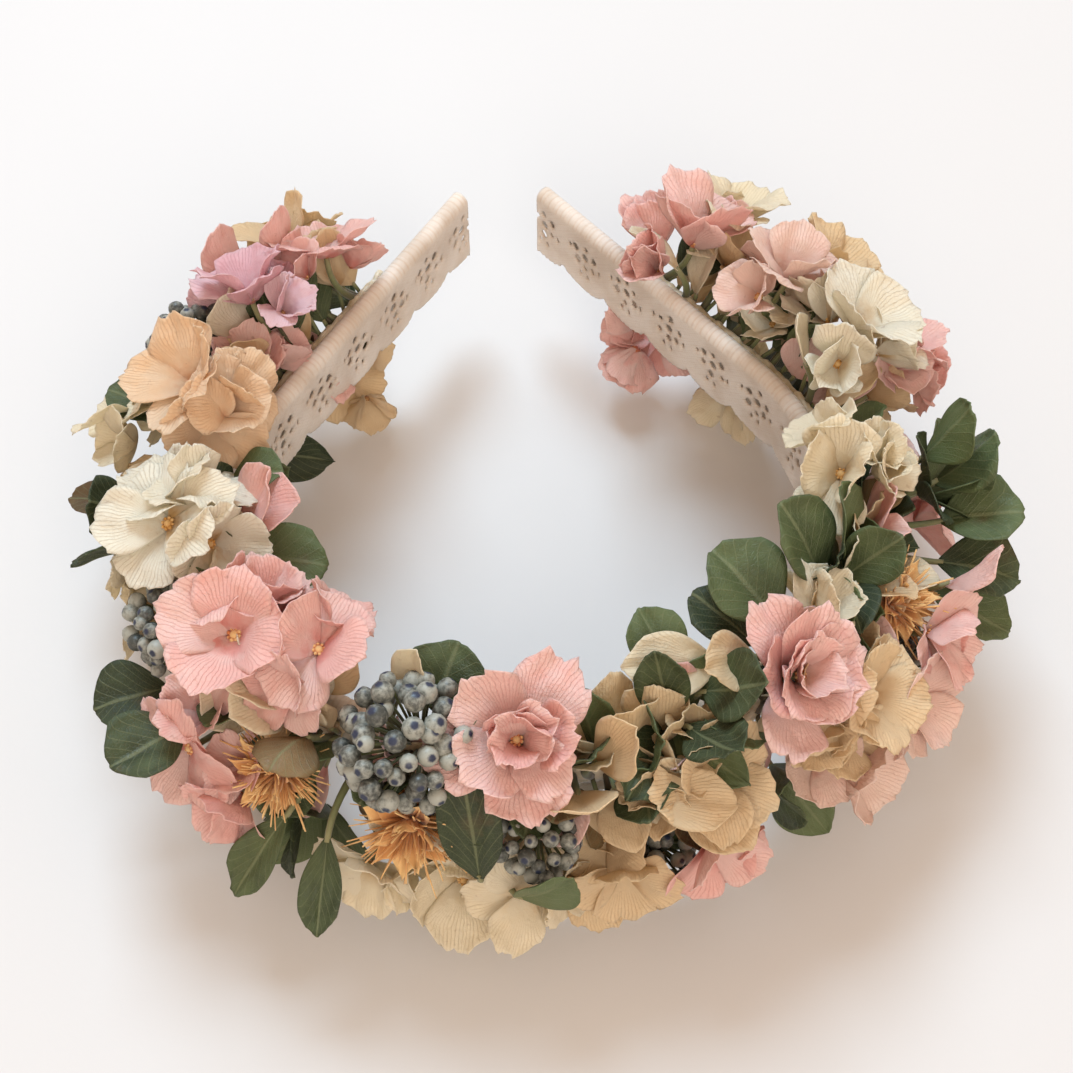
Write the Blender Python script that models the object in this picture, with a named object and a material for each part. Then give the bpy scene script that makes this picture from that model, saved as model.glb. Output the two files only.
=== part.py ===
"""Flower crown: a sprung hair band covered in crochet lace, with preserved
flowers, leaves, berries and dried heads glued around the outside of it.

The band lies flat. Its inner line is the path all pieces follow: a distance
along it is positive to the right of the middle, "out" is away from the head and
"up" is across the width of the band. The origin is on the inner face of the
lace at the middle, with the two tips towards +Y.
"""

import bpy
import bmesh
from math import cos, pi, radians, sin
from mathutils import Vector

# Plan of the band, metres and degrees, along the inner face of the lace.
FLAT_HALF = 0.003
CROWN_RADIUS = 0.060
CROWN_BEND = 38.0
SIDE_RADIUS = 0.050
TOTAL_BEND = 127.0
TIP_HALF_GAP = 0.008

# Band core, the strip inside the lace.
CORE_THICKNESS = 0.0012
CORE_HEIGHT = 0.010

# Lace, a folded strip: inner flap, fold over the top edge, outer flap.
LACE_THICKNESS = 0.0010
LACE_SKIRT = 0.0047
SCALLOP_LENGTH = 0.0138
SCALLOP_DEPTH = 0.0035
STEPS_PER_SCALLOP = 4

# Glue bed, the strip of glue the stems are set in.
GLUE_THICKNESS = 0.0022
GLUE_HEIGHT = 0.008
GLUE_PAST_LAST_STATION = 0.0066

# Clearances.
FIT_GAP = 0.0003
BAND_CUT = 0.0007
GLUE_CUT = 0.0010
HEAD_GAP = 0.0004

# Flowers: how far apart the stations are, and where the heads of each row sit.
STATION_PITCH = 0.0222
STATIONS = 7
STEM_RADIUS = 0.0009
STEM_SPREAD = 0.0045
STEM_DEPTH = 0.0010
TOP_OUT = 0.0065
TOP_UP = 0.0205
OUTER_OUT = 0.0205
OUTER_UP = 0.0024
LOWER_OUT = 0.0130
LOWER_UP = -0.0195
LARGEST_HEAD = 0.0114

# Joints of the bending model, counted in stations from the middle.
INNER_JOINT = 1.5
OUTER_JOINT = 4.5

# The flowers of each row, from the left tip round to the right tip.
TOP_ROW = (
    "pink_floret", "mauve_floret", "peach_floret", "white_floret", "pink_floret",
    "pink_floret", "berries", "pink_rose", "leaf", "pink_rose",
    "leaf", "cream_floret", "white_floret", "cream_floret", "pink_floret",
)
OUTER_ROW = (
    "tan_floret", "berries", "cream_floret", "leaf", "berries",
    "orange_brush", "orange_brush", "berries", "tan_floret", "tan_floret",
    "orange_brush", "leaf", "pink_floret", "tan_floret", "cream_floret",
)
LOWER_ROW = (
    "cream_floret", "pink_floret", "leaf", "cream_floret", "leaf",
    "leaf", "cream_floret", "tan_floret", "berries", "leaf",
    "berries", "pink_floret", "maroon_brush", "cream_floret", "pink_floret",
)

# Shapes of the heads as rings of (radius, height, lobing), for a head of room 1
# whose centre is at height 0 and whose face looks up.
FLORET_RINGS = (
    (0.10, -0.52, 0.0), (0.52, -0.30, 0.5), (0.93, 0.20, 1.0),
    (0.91, 0.29, 1.0), (0.46, -0.14, 0.5), (0.14, -0.24, 0.0),
)
ROSE_RINGS = (
    (0.10, -0.62, 0.0), (0.58, -0.48, 0.3), (0.92, 0.02, 0.8), (0.88, 0.36, 1.0),
    (0.80, 0.30, 1.0), (0.50, -0.10, 0.6), (0.30, 0.28, 0.2), (0.14, 0.36, 0.0),
)
LEAF_RINGS = (
    (0.10, -0.50, 0.0), (0.40, -0.26, 0.8), (0.76, -0.04, 1.0), (0.95, 0.16, 1.0),
    (0.93, 0.25, 1.0), (0.74, 0.06, 1.0), (0.38, -0.12, 0.8), (0.12, -0.20, 0.0),
)
BRUSH_RINGS = (
    (0.12, -0.60, 0.0), (0.42, -0.46, 0.0), (0.50, -0.16, 0.2), (0.72, 0.42, 1.0),
    (0.62, 0.70, 1.0), (0.44, 0.46, 0.4), (0.26, 0.66, 0.3), (0.10, 0.74, 0.0),
)
BALL_RINGS = (
    (0.12, -0.56, 0.0), (0.38, -0.38, 0.0), (0.54, 0.00, 0.0),
    (0.38, 0.38, 0.0), (0.14, 0.52, 0.0),
)

# Colour, roughness and metallic of each material.
MATERIALS = {
    "petal_pink": ((0.78, 0.40, 0.38), 0.60, 0.0),
    "petal_mauve": ((0.68, 0.36, 0.46), 0.60, 0.0),
    "petal_peach": ((0.74, 0.47, 0.28), 0.60, 0.0),
    "petal_white": ((0.74, 0.68, 0.56), 0.60, 0.0),
    "petal_cream": ((0.72, 0.60, 0.40), 0.60, 0.0),
    "petal_tan": ((0.62, 0.43, 0.24), 0.65, 0.0),
    "leaf_green": ((0.08, 0.16, 0.10), 0.55, 0.0),
    "berry_grey": ((0.34, 0.38, 0.36), 0.60, 0.0),
    "brush_orange": ((0.58, 0.24, 0.08), 0.80, 0.0),
    "brush_maroon": ((0.20, 0.06, 0.04), 0.80, 0.0),
    "lace_cotton": ((0.66, 0.50, 0.40), 0.90, 0.0),
    "band_core": ((0.60, 0.58, 0.54), 0.45, 0.0),
    "glue": ((0.80, 0.78, 0.70), 0.35, 0.0),
}

OUTER_FACE_OF_CORE = LACE_THICKNESS + FIT_GAP + CORE_THICKNESS
OUTER_FACE_OF_LACE = OUTER_FACE_OF_CORE + FIT_GAP + LACE_THICKNESS
OUTER_FACE_OF_GLUE = OUTER_FACE_OF_LACE + FIT_GAP + GLUE_THICKNESS
TOP_OF_LACE = CORE_HEIGHT / 2 + FIT_GAP + LACE_THICKNESS
BOTTOM_OF_LACE = -CORE_HEIGHT / 2 - LACE_SKIRT
MIDDLE_OF_CORE = LACE_THICKNESS + FIT_GAP + CORE_THICKNESS / 2
BAND_STEP = SCALLOP_LENGTH / STEPS_PER_SCALLOP
GLUE_END = STATIONS * STATION_PITCH + GLUE_PAST_LAST_STATION


def clear_scene():
    """Remove whatever objects the scene opened with."""
    for item in list(bpy.data.objects):
        bpy.data.objects.remove(item, do_unlink=True)


def make_material(name):
    """One plain surface with its own colour, roughness and metallic."""
    colour, roughness, metallic = MATERIALS[name]
    material = bpy.data.materials.new(name)
    material.use_nodes = True
    shader = material.node_tree.nodes["Principled BSDF"]
    shader.inputs["Base Color"].default_value = (*colour, 1.0)
    shader.inputs["Roughness"].default_value = roughness
    shader.inputs["Metallic"].default_value = metallic
    return material


def path_pieces():
    """The plan of one half of the band as (length, bend) pieces from the middle."""
    crown = radians(CROWN_BEND)
    side = radians(TOTAL_BEND - CROWN_BEND)
    corner = (
        FLAT_HALF
        + CROWN_RADIUS * sin(crown)
        + SIDE_RADIUS * (sin(crown + side) - sin(crown))
    )
    arm = (corner - TIP_HALF_GAP) / -cos(crown + side)
    return (
        (FLAT_HALF, 0.0),
        (CROWN_RADIUS * crown, crown),
        (SIDE_RADIUS * side, side),
        (arm, 0.0),
    )


def half_length():
    """Length of the band from its middle to a tip."""
    return sum(length for length, bend in path_pieces())


def on_path(along):
    """Plan point and outward direction of the inner line at a distance along it."""
    left = abs(along)
    point = Vector((0.0, 0.0))
    heading = 0.0
    for length, bend in path_pieces():
        run = min(left, length)
        turn = bend * run / length
        if turn:
            radius = length / bend
            point += radius * Vector(
                (sin(heading + turn) - sin(heading), cos(heading) - cos(heading + turn))
            )
        else:
            point += run * Vector((cos(heading), sin(heading)))
        heading += turn
        left -= run
    outward = Vector((sin(heading), -cos(heading)))
    if along < 0:
        point.x = -point.x
        outward.x = -outward.x
    return point, outward


def place(along, out, up):
    """The point at a distance along the band, outward from it and up."""
    point, outward = on_path(along)
    plan = point + outward * out
    return Vector((plan.x, plan.y, up))


def direction(along, out, up):
    """Unit direction made of an outward share and an upward share."""
    outward = on_path(along)[1]
    return Vector((outward.x * out, outward.y * out, up)).normalized()


def along_direction(along):
    """Unit direction of growing distance along the band."""
    outward = on_path(along)[1]
    return Vector((-outward.y, outward.x, 0.0))


def band_samples(start, end, step):
    """Distances from start to end, with the shared steps of the band between."""
    first = round(start / step - 0.5) + 1
    samples = [start]
    for count in range(first, first + round((end - start) / step) + 2):
        along = (count + 0.5) * step
        if start + 0.2 * step < along < end - 0.2 * step:
            samples.append(along)
    samples.append(end)
    return samples


def add_object(name, mesh_data, material, parent):
    """Put a mesh in the scene on its body, with its own material."""
    mesh = bpy.data.meshes.new(name)
    bmesh.ops.recalc_face_normals(mesh_data, faces=mesh_data.faces)
    bmesh.ops.translate(mesh_data, vec=-parent.location, verts=mesh_data.verts)
    mesh_data.to_mesh(mesh)
    mesh_data.free()
    mesh.materials.append(material)
    item = bpy.data.objects.new(name, mesh)
    item.parent = parent
    bpy.context.scene.collection.objects.link(item)
    return item


def shade_round(item):
    """Smooth shading that keeps real corners sharp."""
    item.data.shade_smooth()
    item.data.set_sharp_from_angle(angle=radians(40))


def bridge(mesh_data, lower, upper):
    """Faces between two rings of the same number of points."""
    count = len(lower)
    for index in range(count):
        after = (index + 1) % count
        mesh_data.faces.new((lower[index], lower[after], upper[after], upper[index]))


def swept_strip(name, samples, section, material, parent):
    """A strip along the band. section(along) gives its (out, up) outline there."""
    mesh_data = bmesh.new()
    rings = []
    for along in samples:
        points = [place(along, out, up) for out, up in section(along)]
        rings.append([mesh_data.verts.new(point) for point in points])
    for lower, upper in zip(rings, rings[1:]):
        bridge(mesh_data, lower, upper)
    mesh_data.faces.new(rings[0])
    mesh_data.faces.new(rings[-1])
    return add_object(name, mesh_data, material, parent)


def core_section(along):
    """Rectangle of the strip inside the lace."""
    inner = OUTER_FACE_OF_CORE - CORE_THICKNESS
    half = CORE_HEIGHT / 2
    return (
        (inner, -half), (OUTER_FACE_OF_CORE, -half),
        (OUTER_FACE_OF_CORE, half), (inner, half),
    )


def glue_section(along):
    """Rectangle of the glue bed on the outer flap of the lace."""
    inner = OUTER_FACE_OF_GLUE - GLUE_THICKNESS
    half = GLUE_HEIGHT / 2
    return (
        (inner, -half), (OUTER_FACE_OF_GLUE, -half),
        (OUTER_FACE_OF_GLUE, half), (inner, half),
    )


def lace_section(along):
    """The folded lace, with the scallops of its edges at the lower side."""
    wave = abs(sin(pi * along / SCALLOP_LENGTH))
    bottom = BOTTOM_OF_LACE - SCALLOP_DEPTH * wave
    fold = TOP_OF_LACE - LACE_THICKNESS
    inner_side = LACE_THICKNESS
    outer_side = OUTER_FACE_OF_LACE - LACE_THICKNESS
    return (
        (0.0, bottom), (0.0, TOP_OF_LACE),
        (OUTER_FACE_OF_LACE, TOP_OF_LACE), (OUTER_FACE_OF_LACE, bottom),
        (outer_side, bottom), (outer_side, fold),
        (inner_side, fold), (inner_side, bottom),
    )


def head_place(station, row):
    """Head centre and facing of the flower of one row at one station."""
    along = station * STATION_PITCH
    if row == "top":
        return place(along, TOP_OUT, TOP_UP), direction(along, 0.25, 1.0)
    if row == "outer":
        return place(along, OUTER_OUT, OUTER_UP), direction(along, 1.0, 0.35)
    return place(along, LOWER_OUT, LOWER_UP), direction(along, 1.0, -0.75)


def foot_place(station, row):
    """Where the stem of a flower starts, and which way it sets off."""
    along = station * STATION_PITCH
    flat_on_glue = OUTER_FACE_OF_GLUE + FIT_GAP + STEM_RADIUS
    if row == "top":
        foot = place(along - STEM_SPREAD, flat_on_glue, -STEM_DEPTH)
        return foot, Vector((0.0, 0.0, 1.0))
    if row == "outer":
        foot = place(along, OUTER_FACE_OF_GLUE + FIT_GAP, 0.0)
        return foot, direction(along, 1.0, 0.0)
    foot = place(along + STEM_SPREAD, flat_on_glue, STEM_DEPTH)
    return foot, Vector((0.0, 0.0, -1.0))


def lace_room(row):
    """How near the lower heads may come to the edge of the lace."""
    if row != "lower":
        return LARGEST_HEAD
    reach = LOWER_OUT - OUTER_FACE_OF_LACE
    drop = BOTTOM_OF_LACE - SCALLOP_DEPTH - LOWER_UP
    return Vector((reach, max(drop, 0.0))).length - HEAD_GAP


def head_rooms(centres):
    """Radius of the ball each head has to itself, from its nearest neighbour."""
    rooms = {}
    for key, centre in centres.items():
        others = [point for other, point in centres.items() if other != key]
        nearest = min((point - centre).length for point in others)
        rooms[key] = min((nearest - HEAD_GAP) / 2, lace_room(key[1]), LARGEST_HEAD)
    return rooms


def turned_flower(station, row, room, rings, around, lobes, notch):
    """Stem and head in one skin: round rings up the stem, lobed rings in the head."""
    centre, facing = head_place(station, row)
    foot, setting_off = foot_place(station, row)
    band_line = along_direction(station * STATION_PITCH)
    neck = centre + facing * (rings[0][1] * room)
    knee = foot + setting_off * ((neck - foot).length / 2)
    stem = (
        (foot, setting_off, STEM_RADIUS, 0.0),
        (knee, setting_off, STEM_RADIUS, 0.0),
    )
    head = [
        (centre + facing * (height * room), facing, radius * room, lobing)
        for radius, height, lobing in rings
    ]
    mesh_data = bmesh.new()
    skins = []
    for middle, axis, radius, lobing in (*stem, *head):
        side = (band_line - axis * band_line.dot(axis)).normalized()
        skin = []
        for index in range(around):
            angle = 2 * pi * index / around
            dip = 0.5 - 0.5 * cos(lobes * angle)
            reach = radius * (1.0 - notch * lobing * dip)
            offset = side * cos(angle) + axis.cross(side) * sin(angle)
            skin.append(mesh_data.verts.new(middle + offset * reach))
        skins.append(skin)
    for lower, upper in zip(skins, skins[1:]):
        bridge(mesh_data, lower, upper)
    mesh_data.faces.new(skins[0])
    mesh_data.faces.new(skins[-1])
    return mesh_data


def berry_balls(station, row, room):
    """The berries of a cluster: one at the end and six around it."""
    centre, facing = head_place(station, row)
    side = along_direction(station * STATION_PITCH)
    across = facing.cross(side)
    directions = [facing]
    lean = radians(68)
    for index in range(6):
        angle = 2 * pi * index / 6
        round_line = side * cos(angle) + across * sin(angle)
        directions.append(facing * cos(lean) + round_line * sin(lean))
    mesh_data = bmesh.new()
    for line in directions:
        ball = bmesh.ops.create_uvsphere(
            mesh_data, u_segments=8, v_segments=5, radius=0.29 * room
        )
        bmesh.ops.translate(
            mesh_data, vec=centre + line * (0.67 * room), verts=ball["verts"]
        )
    return mesh_data


def add_berries(name, station, row, room, material, parent):
    """A berry cluster: stalk and middle ball with the berries joined on."""
    mesh_data = turned_flower(station, row, room, BALL_RINGS, 12, 1, 0.0)
    item = add_object(name, mesh_data, material, parent)
    balls = berry_balls(station, row, room)
    cutter = add_object(name + "_balls", balls, material, parent)
    cutter.hide_render = True
    cutter.display_type = "WIRE"
    join = item.modifiers.new("berries", "BOOLEAN")
    join.operation = "UNION"
    join.solver = "EXACT"
    join.object = cutter
    return item


def add_flower(name, kind, station, row, room, materials, parent):
    """One glued-on piece of the given kind."""
    shape = kind.split("_")[-1]
    colour = kind.split("_")[0]
    if shape == "berries":
        item = add_berries(name, station, row, room, materials["berry_grey"], parent)
    elif shape == "leaf":
        mesh_data = turned_flower(station, row, room, LEAF_RINGS, 18, 3, 0.62)
        item = add_object(name, mesh_data, materials["leaf_green"], parent)
    elif shape == "brush":
        mesh_data = turned_flower(station, row, room, BRUSH_RINGS, 16, 8, 0.22)
        item = add_object(name, mesh_data, materials["brush_" + colour], parent)
    elif shape == "rose":
        mesh_data = turned_flower(station, row, room, ROSE_RINGS, 20, 5, 0.16)
        item = add_object(name, mesh_data, materials["petal_" + colour], parent)
    else:
        mesh_data = turned_flower(station, row, room, FLORET_RINGS, 16, 4, 0.34)
        item = add_object(name, mesh_data, materials["petal_" + colour], parent)
    shade_round(item)
    return item


def body_of(station):
    """Name of the stiff length of band a station is on."""
    if abs(station) < INNER_JOINT:
        return "crown"
    part = "shoulder" if abs(station) < OUTER_JOINT else "arm"
    return ("left_" if station < 0 else "right_") + part


def add_bodies():
    """An empty for each stiff length of band, standing on its joint axis."""
    joints = {
        "crown": 0.0,
        "left_shoulder": -INNER_JOINT,
        "right_shoulder": INNER_JOINT,
        "left_arm": -OUTER_JOINT,
        "right_arm": OUTER_JOINT,
    }
    bodies = {}
    for name, station in joints.items():
        empty = bpy.data.objects.new(name, None)
        if station:
            empty.location = place(station * STATION_PITCH, MIDDLE_OF_CORE, 0.0)
        bpy.context.scene.collection.objects.link(empty)
        bodies[name] = empty
    return bodies


def band_spans():
    """Start and end of each stiff length of band."""
    inner = INNER_JOINT * STATION_PITCH
    outer = OUTER_JOINT * STATION_PITCH
    tip = half_length()
    return {
        "left_arm": (-tip, -outer),
        "left_shoulder": (-outer, -inner),
        "crown": (-inner, inner),
        "right_shoulder": (inner, outer),
        "right_arm": (outer, tip),
    }


def trimmed(span, cut, limit):
    """A span with a cut taken off each end that meets a joint."""
    start = max(span[0] + (cut if span[0] > -half_length() else 0.0), -limit)
    end = min(span[1] - (cut if span[1] < half_length() else 0.0), limit)
    return start, end


def add_band(bodies, materials):
    """Core, lace and glue bed of each stiff length."""
    tip = half_length()
    for name, span in band_spans().items():
        start, end = trimmed(span, BAND_CUT, tip - LACE_THICKNESS)
        samples = band_samples(start, end, BAND_STEP * 2)
        swept_strip(
            "core_" + name, samples, core_section, materials["band_core"], bodies[name]
        )
        start, end = trimmed(span, BAND_CUT, tip)
        samples = band_samples(start, end, BAND_STEP)
        swept_strip(
            "lace_" + name, samples, lace_section, materials["lace_cotton"], bodies[name]
        )
        start, end = trimmed(span, GLUE_CUT, GLUE_END)
        samples = band_samples(start, end, BAND_STEP * 2)
        swept_strip(
            "glue_" + name, samples, glue_section, materials["glue"], bodies[name]
        )


def add_flowers(bodies, materials):
    """All three rows of flowers, each in the room it has between its neighbours."""
    rows = {"top": TOP_ROW, "outer": OUTER_ROW, "lower": LOWER_ROW}
    stations = range(-STATIONS, STATIONS + 1)
    centres = {
        (station, row): head_place(station, row)[0]
        for station in stations
        for row in rows
    }
    rooms = head_rooms(centres)
    counts = {}
    for row, kinds in rows.items():
        for station, kind in zip(stations, kinds):
            counts[kind] = counts.get(kind, 0) + 1
            name = f"{kind}_{counts[kind]:02d}"
            room = rooms[(station, row)]
            parent = bodies[body_of(station)]
            add_flower(name, kind, station, row, room, materials, parent)


def main():
    clear_scene()
    materials = {name: make_material(name) for name in MATERIALS}
    bodies = add_bodies()
    add_band(bodies, materials)
    add_flowers(bodies, materials)
    bpy.context.view_layer.update()


main()
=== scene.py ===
"""Flower crown: the finished looks of a hair band covered in crochet lace, with
preserved hydrangeas, roses, leaves, berries and dried brushes glued around it."""

from math import cos, pi, radians, sin

import bpy
import numpy as np
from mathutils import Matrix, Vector
from bpy.props import FloatProperty, FloatVectorProperty, IntProperty, PointerProperty


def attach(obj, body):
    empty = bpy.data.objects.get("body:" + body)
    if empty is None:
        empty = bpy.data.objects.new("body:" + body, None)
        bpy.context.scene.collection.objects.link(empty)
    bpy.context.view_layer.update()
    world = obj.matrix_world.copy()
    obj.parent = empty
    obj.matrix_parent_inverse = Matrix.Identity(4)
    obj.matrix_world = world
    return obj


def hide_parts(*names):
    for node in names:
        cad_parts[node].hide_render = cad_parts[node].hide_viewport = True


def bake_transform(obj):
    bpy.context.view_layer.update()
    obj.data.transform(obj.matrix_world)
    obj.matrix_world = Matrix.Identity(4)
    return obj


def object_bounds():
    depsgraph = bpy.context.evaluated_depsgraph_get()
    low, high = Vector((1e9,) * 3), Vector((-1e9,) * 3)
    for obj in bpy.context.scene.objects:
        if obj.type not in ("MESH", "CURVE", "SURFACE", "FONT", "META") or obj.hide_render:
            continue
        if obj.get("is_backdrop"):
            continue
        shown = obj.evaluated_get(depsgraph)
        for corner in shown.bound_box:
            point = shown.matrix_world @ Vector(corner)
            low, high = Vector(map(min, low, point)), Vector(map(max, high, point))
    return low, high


bl_info = {
    "name": "Flower crown",
    "version": (1, 0, 0),
    "blender": (4, 5, 0),
    "location": "3D view > Sidebar > Flower crown",
    "description": "Lace hair band with preserved flowers, leaves and berries",
    "category": "Add Mesh",
}

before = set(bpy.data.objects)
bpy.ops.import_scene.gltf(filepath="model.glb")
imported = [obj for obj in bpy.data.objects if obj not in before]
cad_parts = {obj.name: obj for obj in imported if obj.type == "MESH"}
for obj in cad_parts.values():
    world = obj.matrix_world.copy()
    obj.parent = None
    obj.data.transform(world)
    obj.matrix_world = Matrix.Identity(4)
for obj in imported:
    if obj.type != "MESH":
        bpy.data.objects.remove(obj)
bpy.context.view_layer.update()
MM = 0.001

# Distance between the flower stations along the band, and how far out and up the
# heads of each row stand, in millimetres.
PITCH = 22.2
TOP = (6.5, 20.5)
OUTER = (20.5, 2.4)
LOWER = (13.0, -19.5)

# Hydrangea heads: part of the crown's model each stands for, tone, station, row,
# shifts along, out and up, size, how far the petals stand up in degrees, and where
# the head faces (out, up, along). Lengths in all these tables are millimetres.
FLORETS = (
    ("pink_floret_01", "pink", -7, TOP, (6, 3, -3), 11.5, 30, (0.5, 1.0, -0.6)),
    ("mauve_floret_01", "mauve", -6, TOP, (4, 7, 0), 13.0, 50, (0.6, 1.0, -0.3)),
    ("peach_floret_01", "peach", -5, TOP, (3, 5, 0), 14.0, 24, (0.4, 1.0, 0.2)),
    ("white_floret_01", "white", -4, TOP, (8, 5, 0), 14.0, 20, (0.4, 1.0, 0.2)),
    ("pink_floret_02", "pink", -3, TOP, (10, 3, 1), 14.0, 34, (0.3, 1.0, 0.1)),
    ("pink_floret_03", "pink", -2, TOP, (0, -5, 1), 12.5, 28, (0.0, 1.0, 0.2)),
    ("cream_floret_01", "cream", 4, TOP, (-7, -5, -2), 12.5, 44, (-0.2, 1.0, -0.5)),
    ("white_floret_02", "white", 5, TOP, (-2, 9, 0), 13.5, 40, (0.4, 1.0, -0.1)),
    ("cream_floret_02", "blush", 6, TOP, (-8, 7, 0), 12.5, 40, (0.4, 1.0, 0.0)),
    ("pink_floret_04", "pink", 7, TOP, (-6, 4, -7), 16.0, 62, (0.35, 1.0, 0.1)),
    ("tan_floret_01", "tan", -7, OUTER, (3, 3, 8), 12.0, 30, (0.7, 1.0, 0.0)),
    ("cream_floret_03", "cream", -5, OUTER, (3, 8, 3), 12.5, 26, (1.0, 0.7, 0.0)),
    ("tan_floret_02", "tan", 1, OUTER, (0, -4, 5), 13.0, 44, (0.6, 1.0, 0.0)),
    ("tan_floret_03", "tan", 2, OUTER, (5, -1, 3), 13.0, 30, (0.7, 1.0, 0.2)),
    ("pink_floret_05", "pink", 5, OUTER, (-2, 9, 4), 11.0, 36, (0.9, 0.9, 0.0)),
    ("tan_floret_04", "tan", 6, OUTER, (-7, 9, 5), 13.0, 34, (0.7, 1.0, 0.0)),
    ("cream_floret_04", "cream", 7, OUTER, (-5, 4, 7), 12.5, 44, (0.5, 1.0, 0.2)),
    ("cream_floret_05", "tan", -7, LOWER, (8, -7, 0), 10.5, 26, (0.6, -0.5, 0.0)),
    ("pink_floret_06", "pink", -6, LOWER, (0, -2, 12), 12.0, 40, (-0.2, 1.0, 0.2)),
    ("cream_floret_06", "cream", -4, LOWER, (3, 8, 0), 12.0, 24, (1.0, 0.1, 0.0)),
    ("cream_floret_07", "cream", -1, LOWER, (7, 5, 0), 13.0, 24, (1.0, 0.5, 0.2)),
    ("tan_floret_05", "tan", 0, LOWER, (5, 4, 1), 13.0, 30, (1.0, 0.6, 0.0)),
    ("pink_floret_07", "pink", 4, LOWER, (0, 10, 6), 12.0, 30, (1.0, 0.4, 0.0)),
    ("cream_floret_08", "cream", 6, LOWER, (-1, -5, 0), 11.0, 26, (0.4, -0.6, 0.0)),
    ("pink_floret_08", "pink", 7, LOWER, (-2, -6, 0), 11.0, 26, (0.3, -0.6, 0.0)),
)

# Roses: part, tone, station, row, shifts, size and facing.
ROSES = (
    ("pink_rose_01", "pink", 0, TOP, (-7, 1, -1), 14.5, (0.4, 1.0, 0.0)),
    ("pink_rose_02", "pink", 2, TOP, (-4, 5, -2), 14.0, (0.7, 1.0, 0.1)),
)

# Berry bunches: part, number of berries, station, row, shifts, size and facing.
BERRIES = (
    ("berries_01", 66, -1, TOP, (-2, 3, -3), 14.5, (0.5, 1.0, -0.2)),
    ("berries_02", 38, -6, OUTER, (13, 4, 7), 10.0, (0.8, 0.9, 0.0)),
    ("berries_03", 44, -3, OUTER, (-3, -5, 5), 11.0, (0.9, 0.8, 0.0)),
    ("berries_04", 32, 0, OUTER, (-4, -1, 0), 9.0, (1.0, 0.5, 0.0)),
    ("berries_05", 34, 1, LOWER, (-7, 5, 3), 9.0, (1.0, 0.4, 0.0)),
    ("berries_06", 34, 3, LOWER, (-2, 8, 6), 9.0, (1.0, 0.4, 0.0)),
)

# Dried brushes: part, tone, station, row, shifts, size and facing.
BRUSHES = (
    ("orange_brush_01", "orange", -2, OUTER, (1, 0, 0), 12.0, (1.0, 0.5, 0.1)),
    ("orange_brush_02", "orange", -1, OUTER, (0, 0, 1), 12.5, (1.0, 0.5, 0.0)),
    ("orange_brush_03", "orange", 3, OUTER, (0, -3, 4), 12.0, (0.6, 0.9, 0.1)),
    ("maroon_brush_01", "maroon", 5, LOWER, (0, 6, 12), 10.5, (0.5, 0.9, 0.0)),
)

# Leaf sprigs: part, number of leaves, station, row, shifts, leaf size and facing.
SPRIGS = (
    ("leaf_01", 4, 1, TOP, (-4, 3, -3), 17.0, (0.7, 1.0, -0.3)),
    ("leaf_02", 3, 3, TOP, (-6, 0, -2), 16.0, (0.2, 1.0, -0.4)),
    ("leaf_03", 3, -4, OUTER, (-1, 2, 2), 16.0, (1.0, 0.7, -0.6)),
    ("leaf_04", 6, 4, OUTER, (-2, 5, 5), 15.0, (1.0, 0.8, 0.0)),
    ("leaf_05", 2, -5, LOWER, (-4, -9, 9), 16.0, (-1.0, 0.5, 0.2)),
    ("leaf_06", 3, -3, LOWER, (0, 4, 3), 16.0, (1.0, 0.2, 0.0)),
    ("leaf_07", 4, -2, LOWER, (6, 7, 2), 17.0, (1.0, 0.1, 0.4)),
    ("leaf_08", 3, 2, LOWER, (-6, 6, 3), 17.0, (1.0, 0.3, -0.2)),
)

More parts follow.
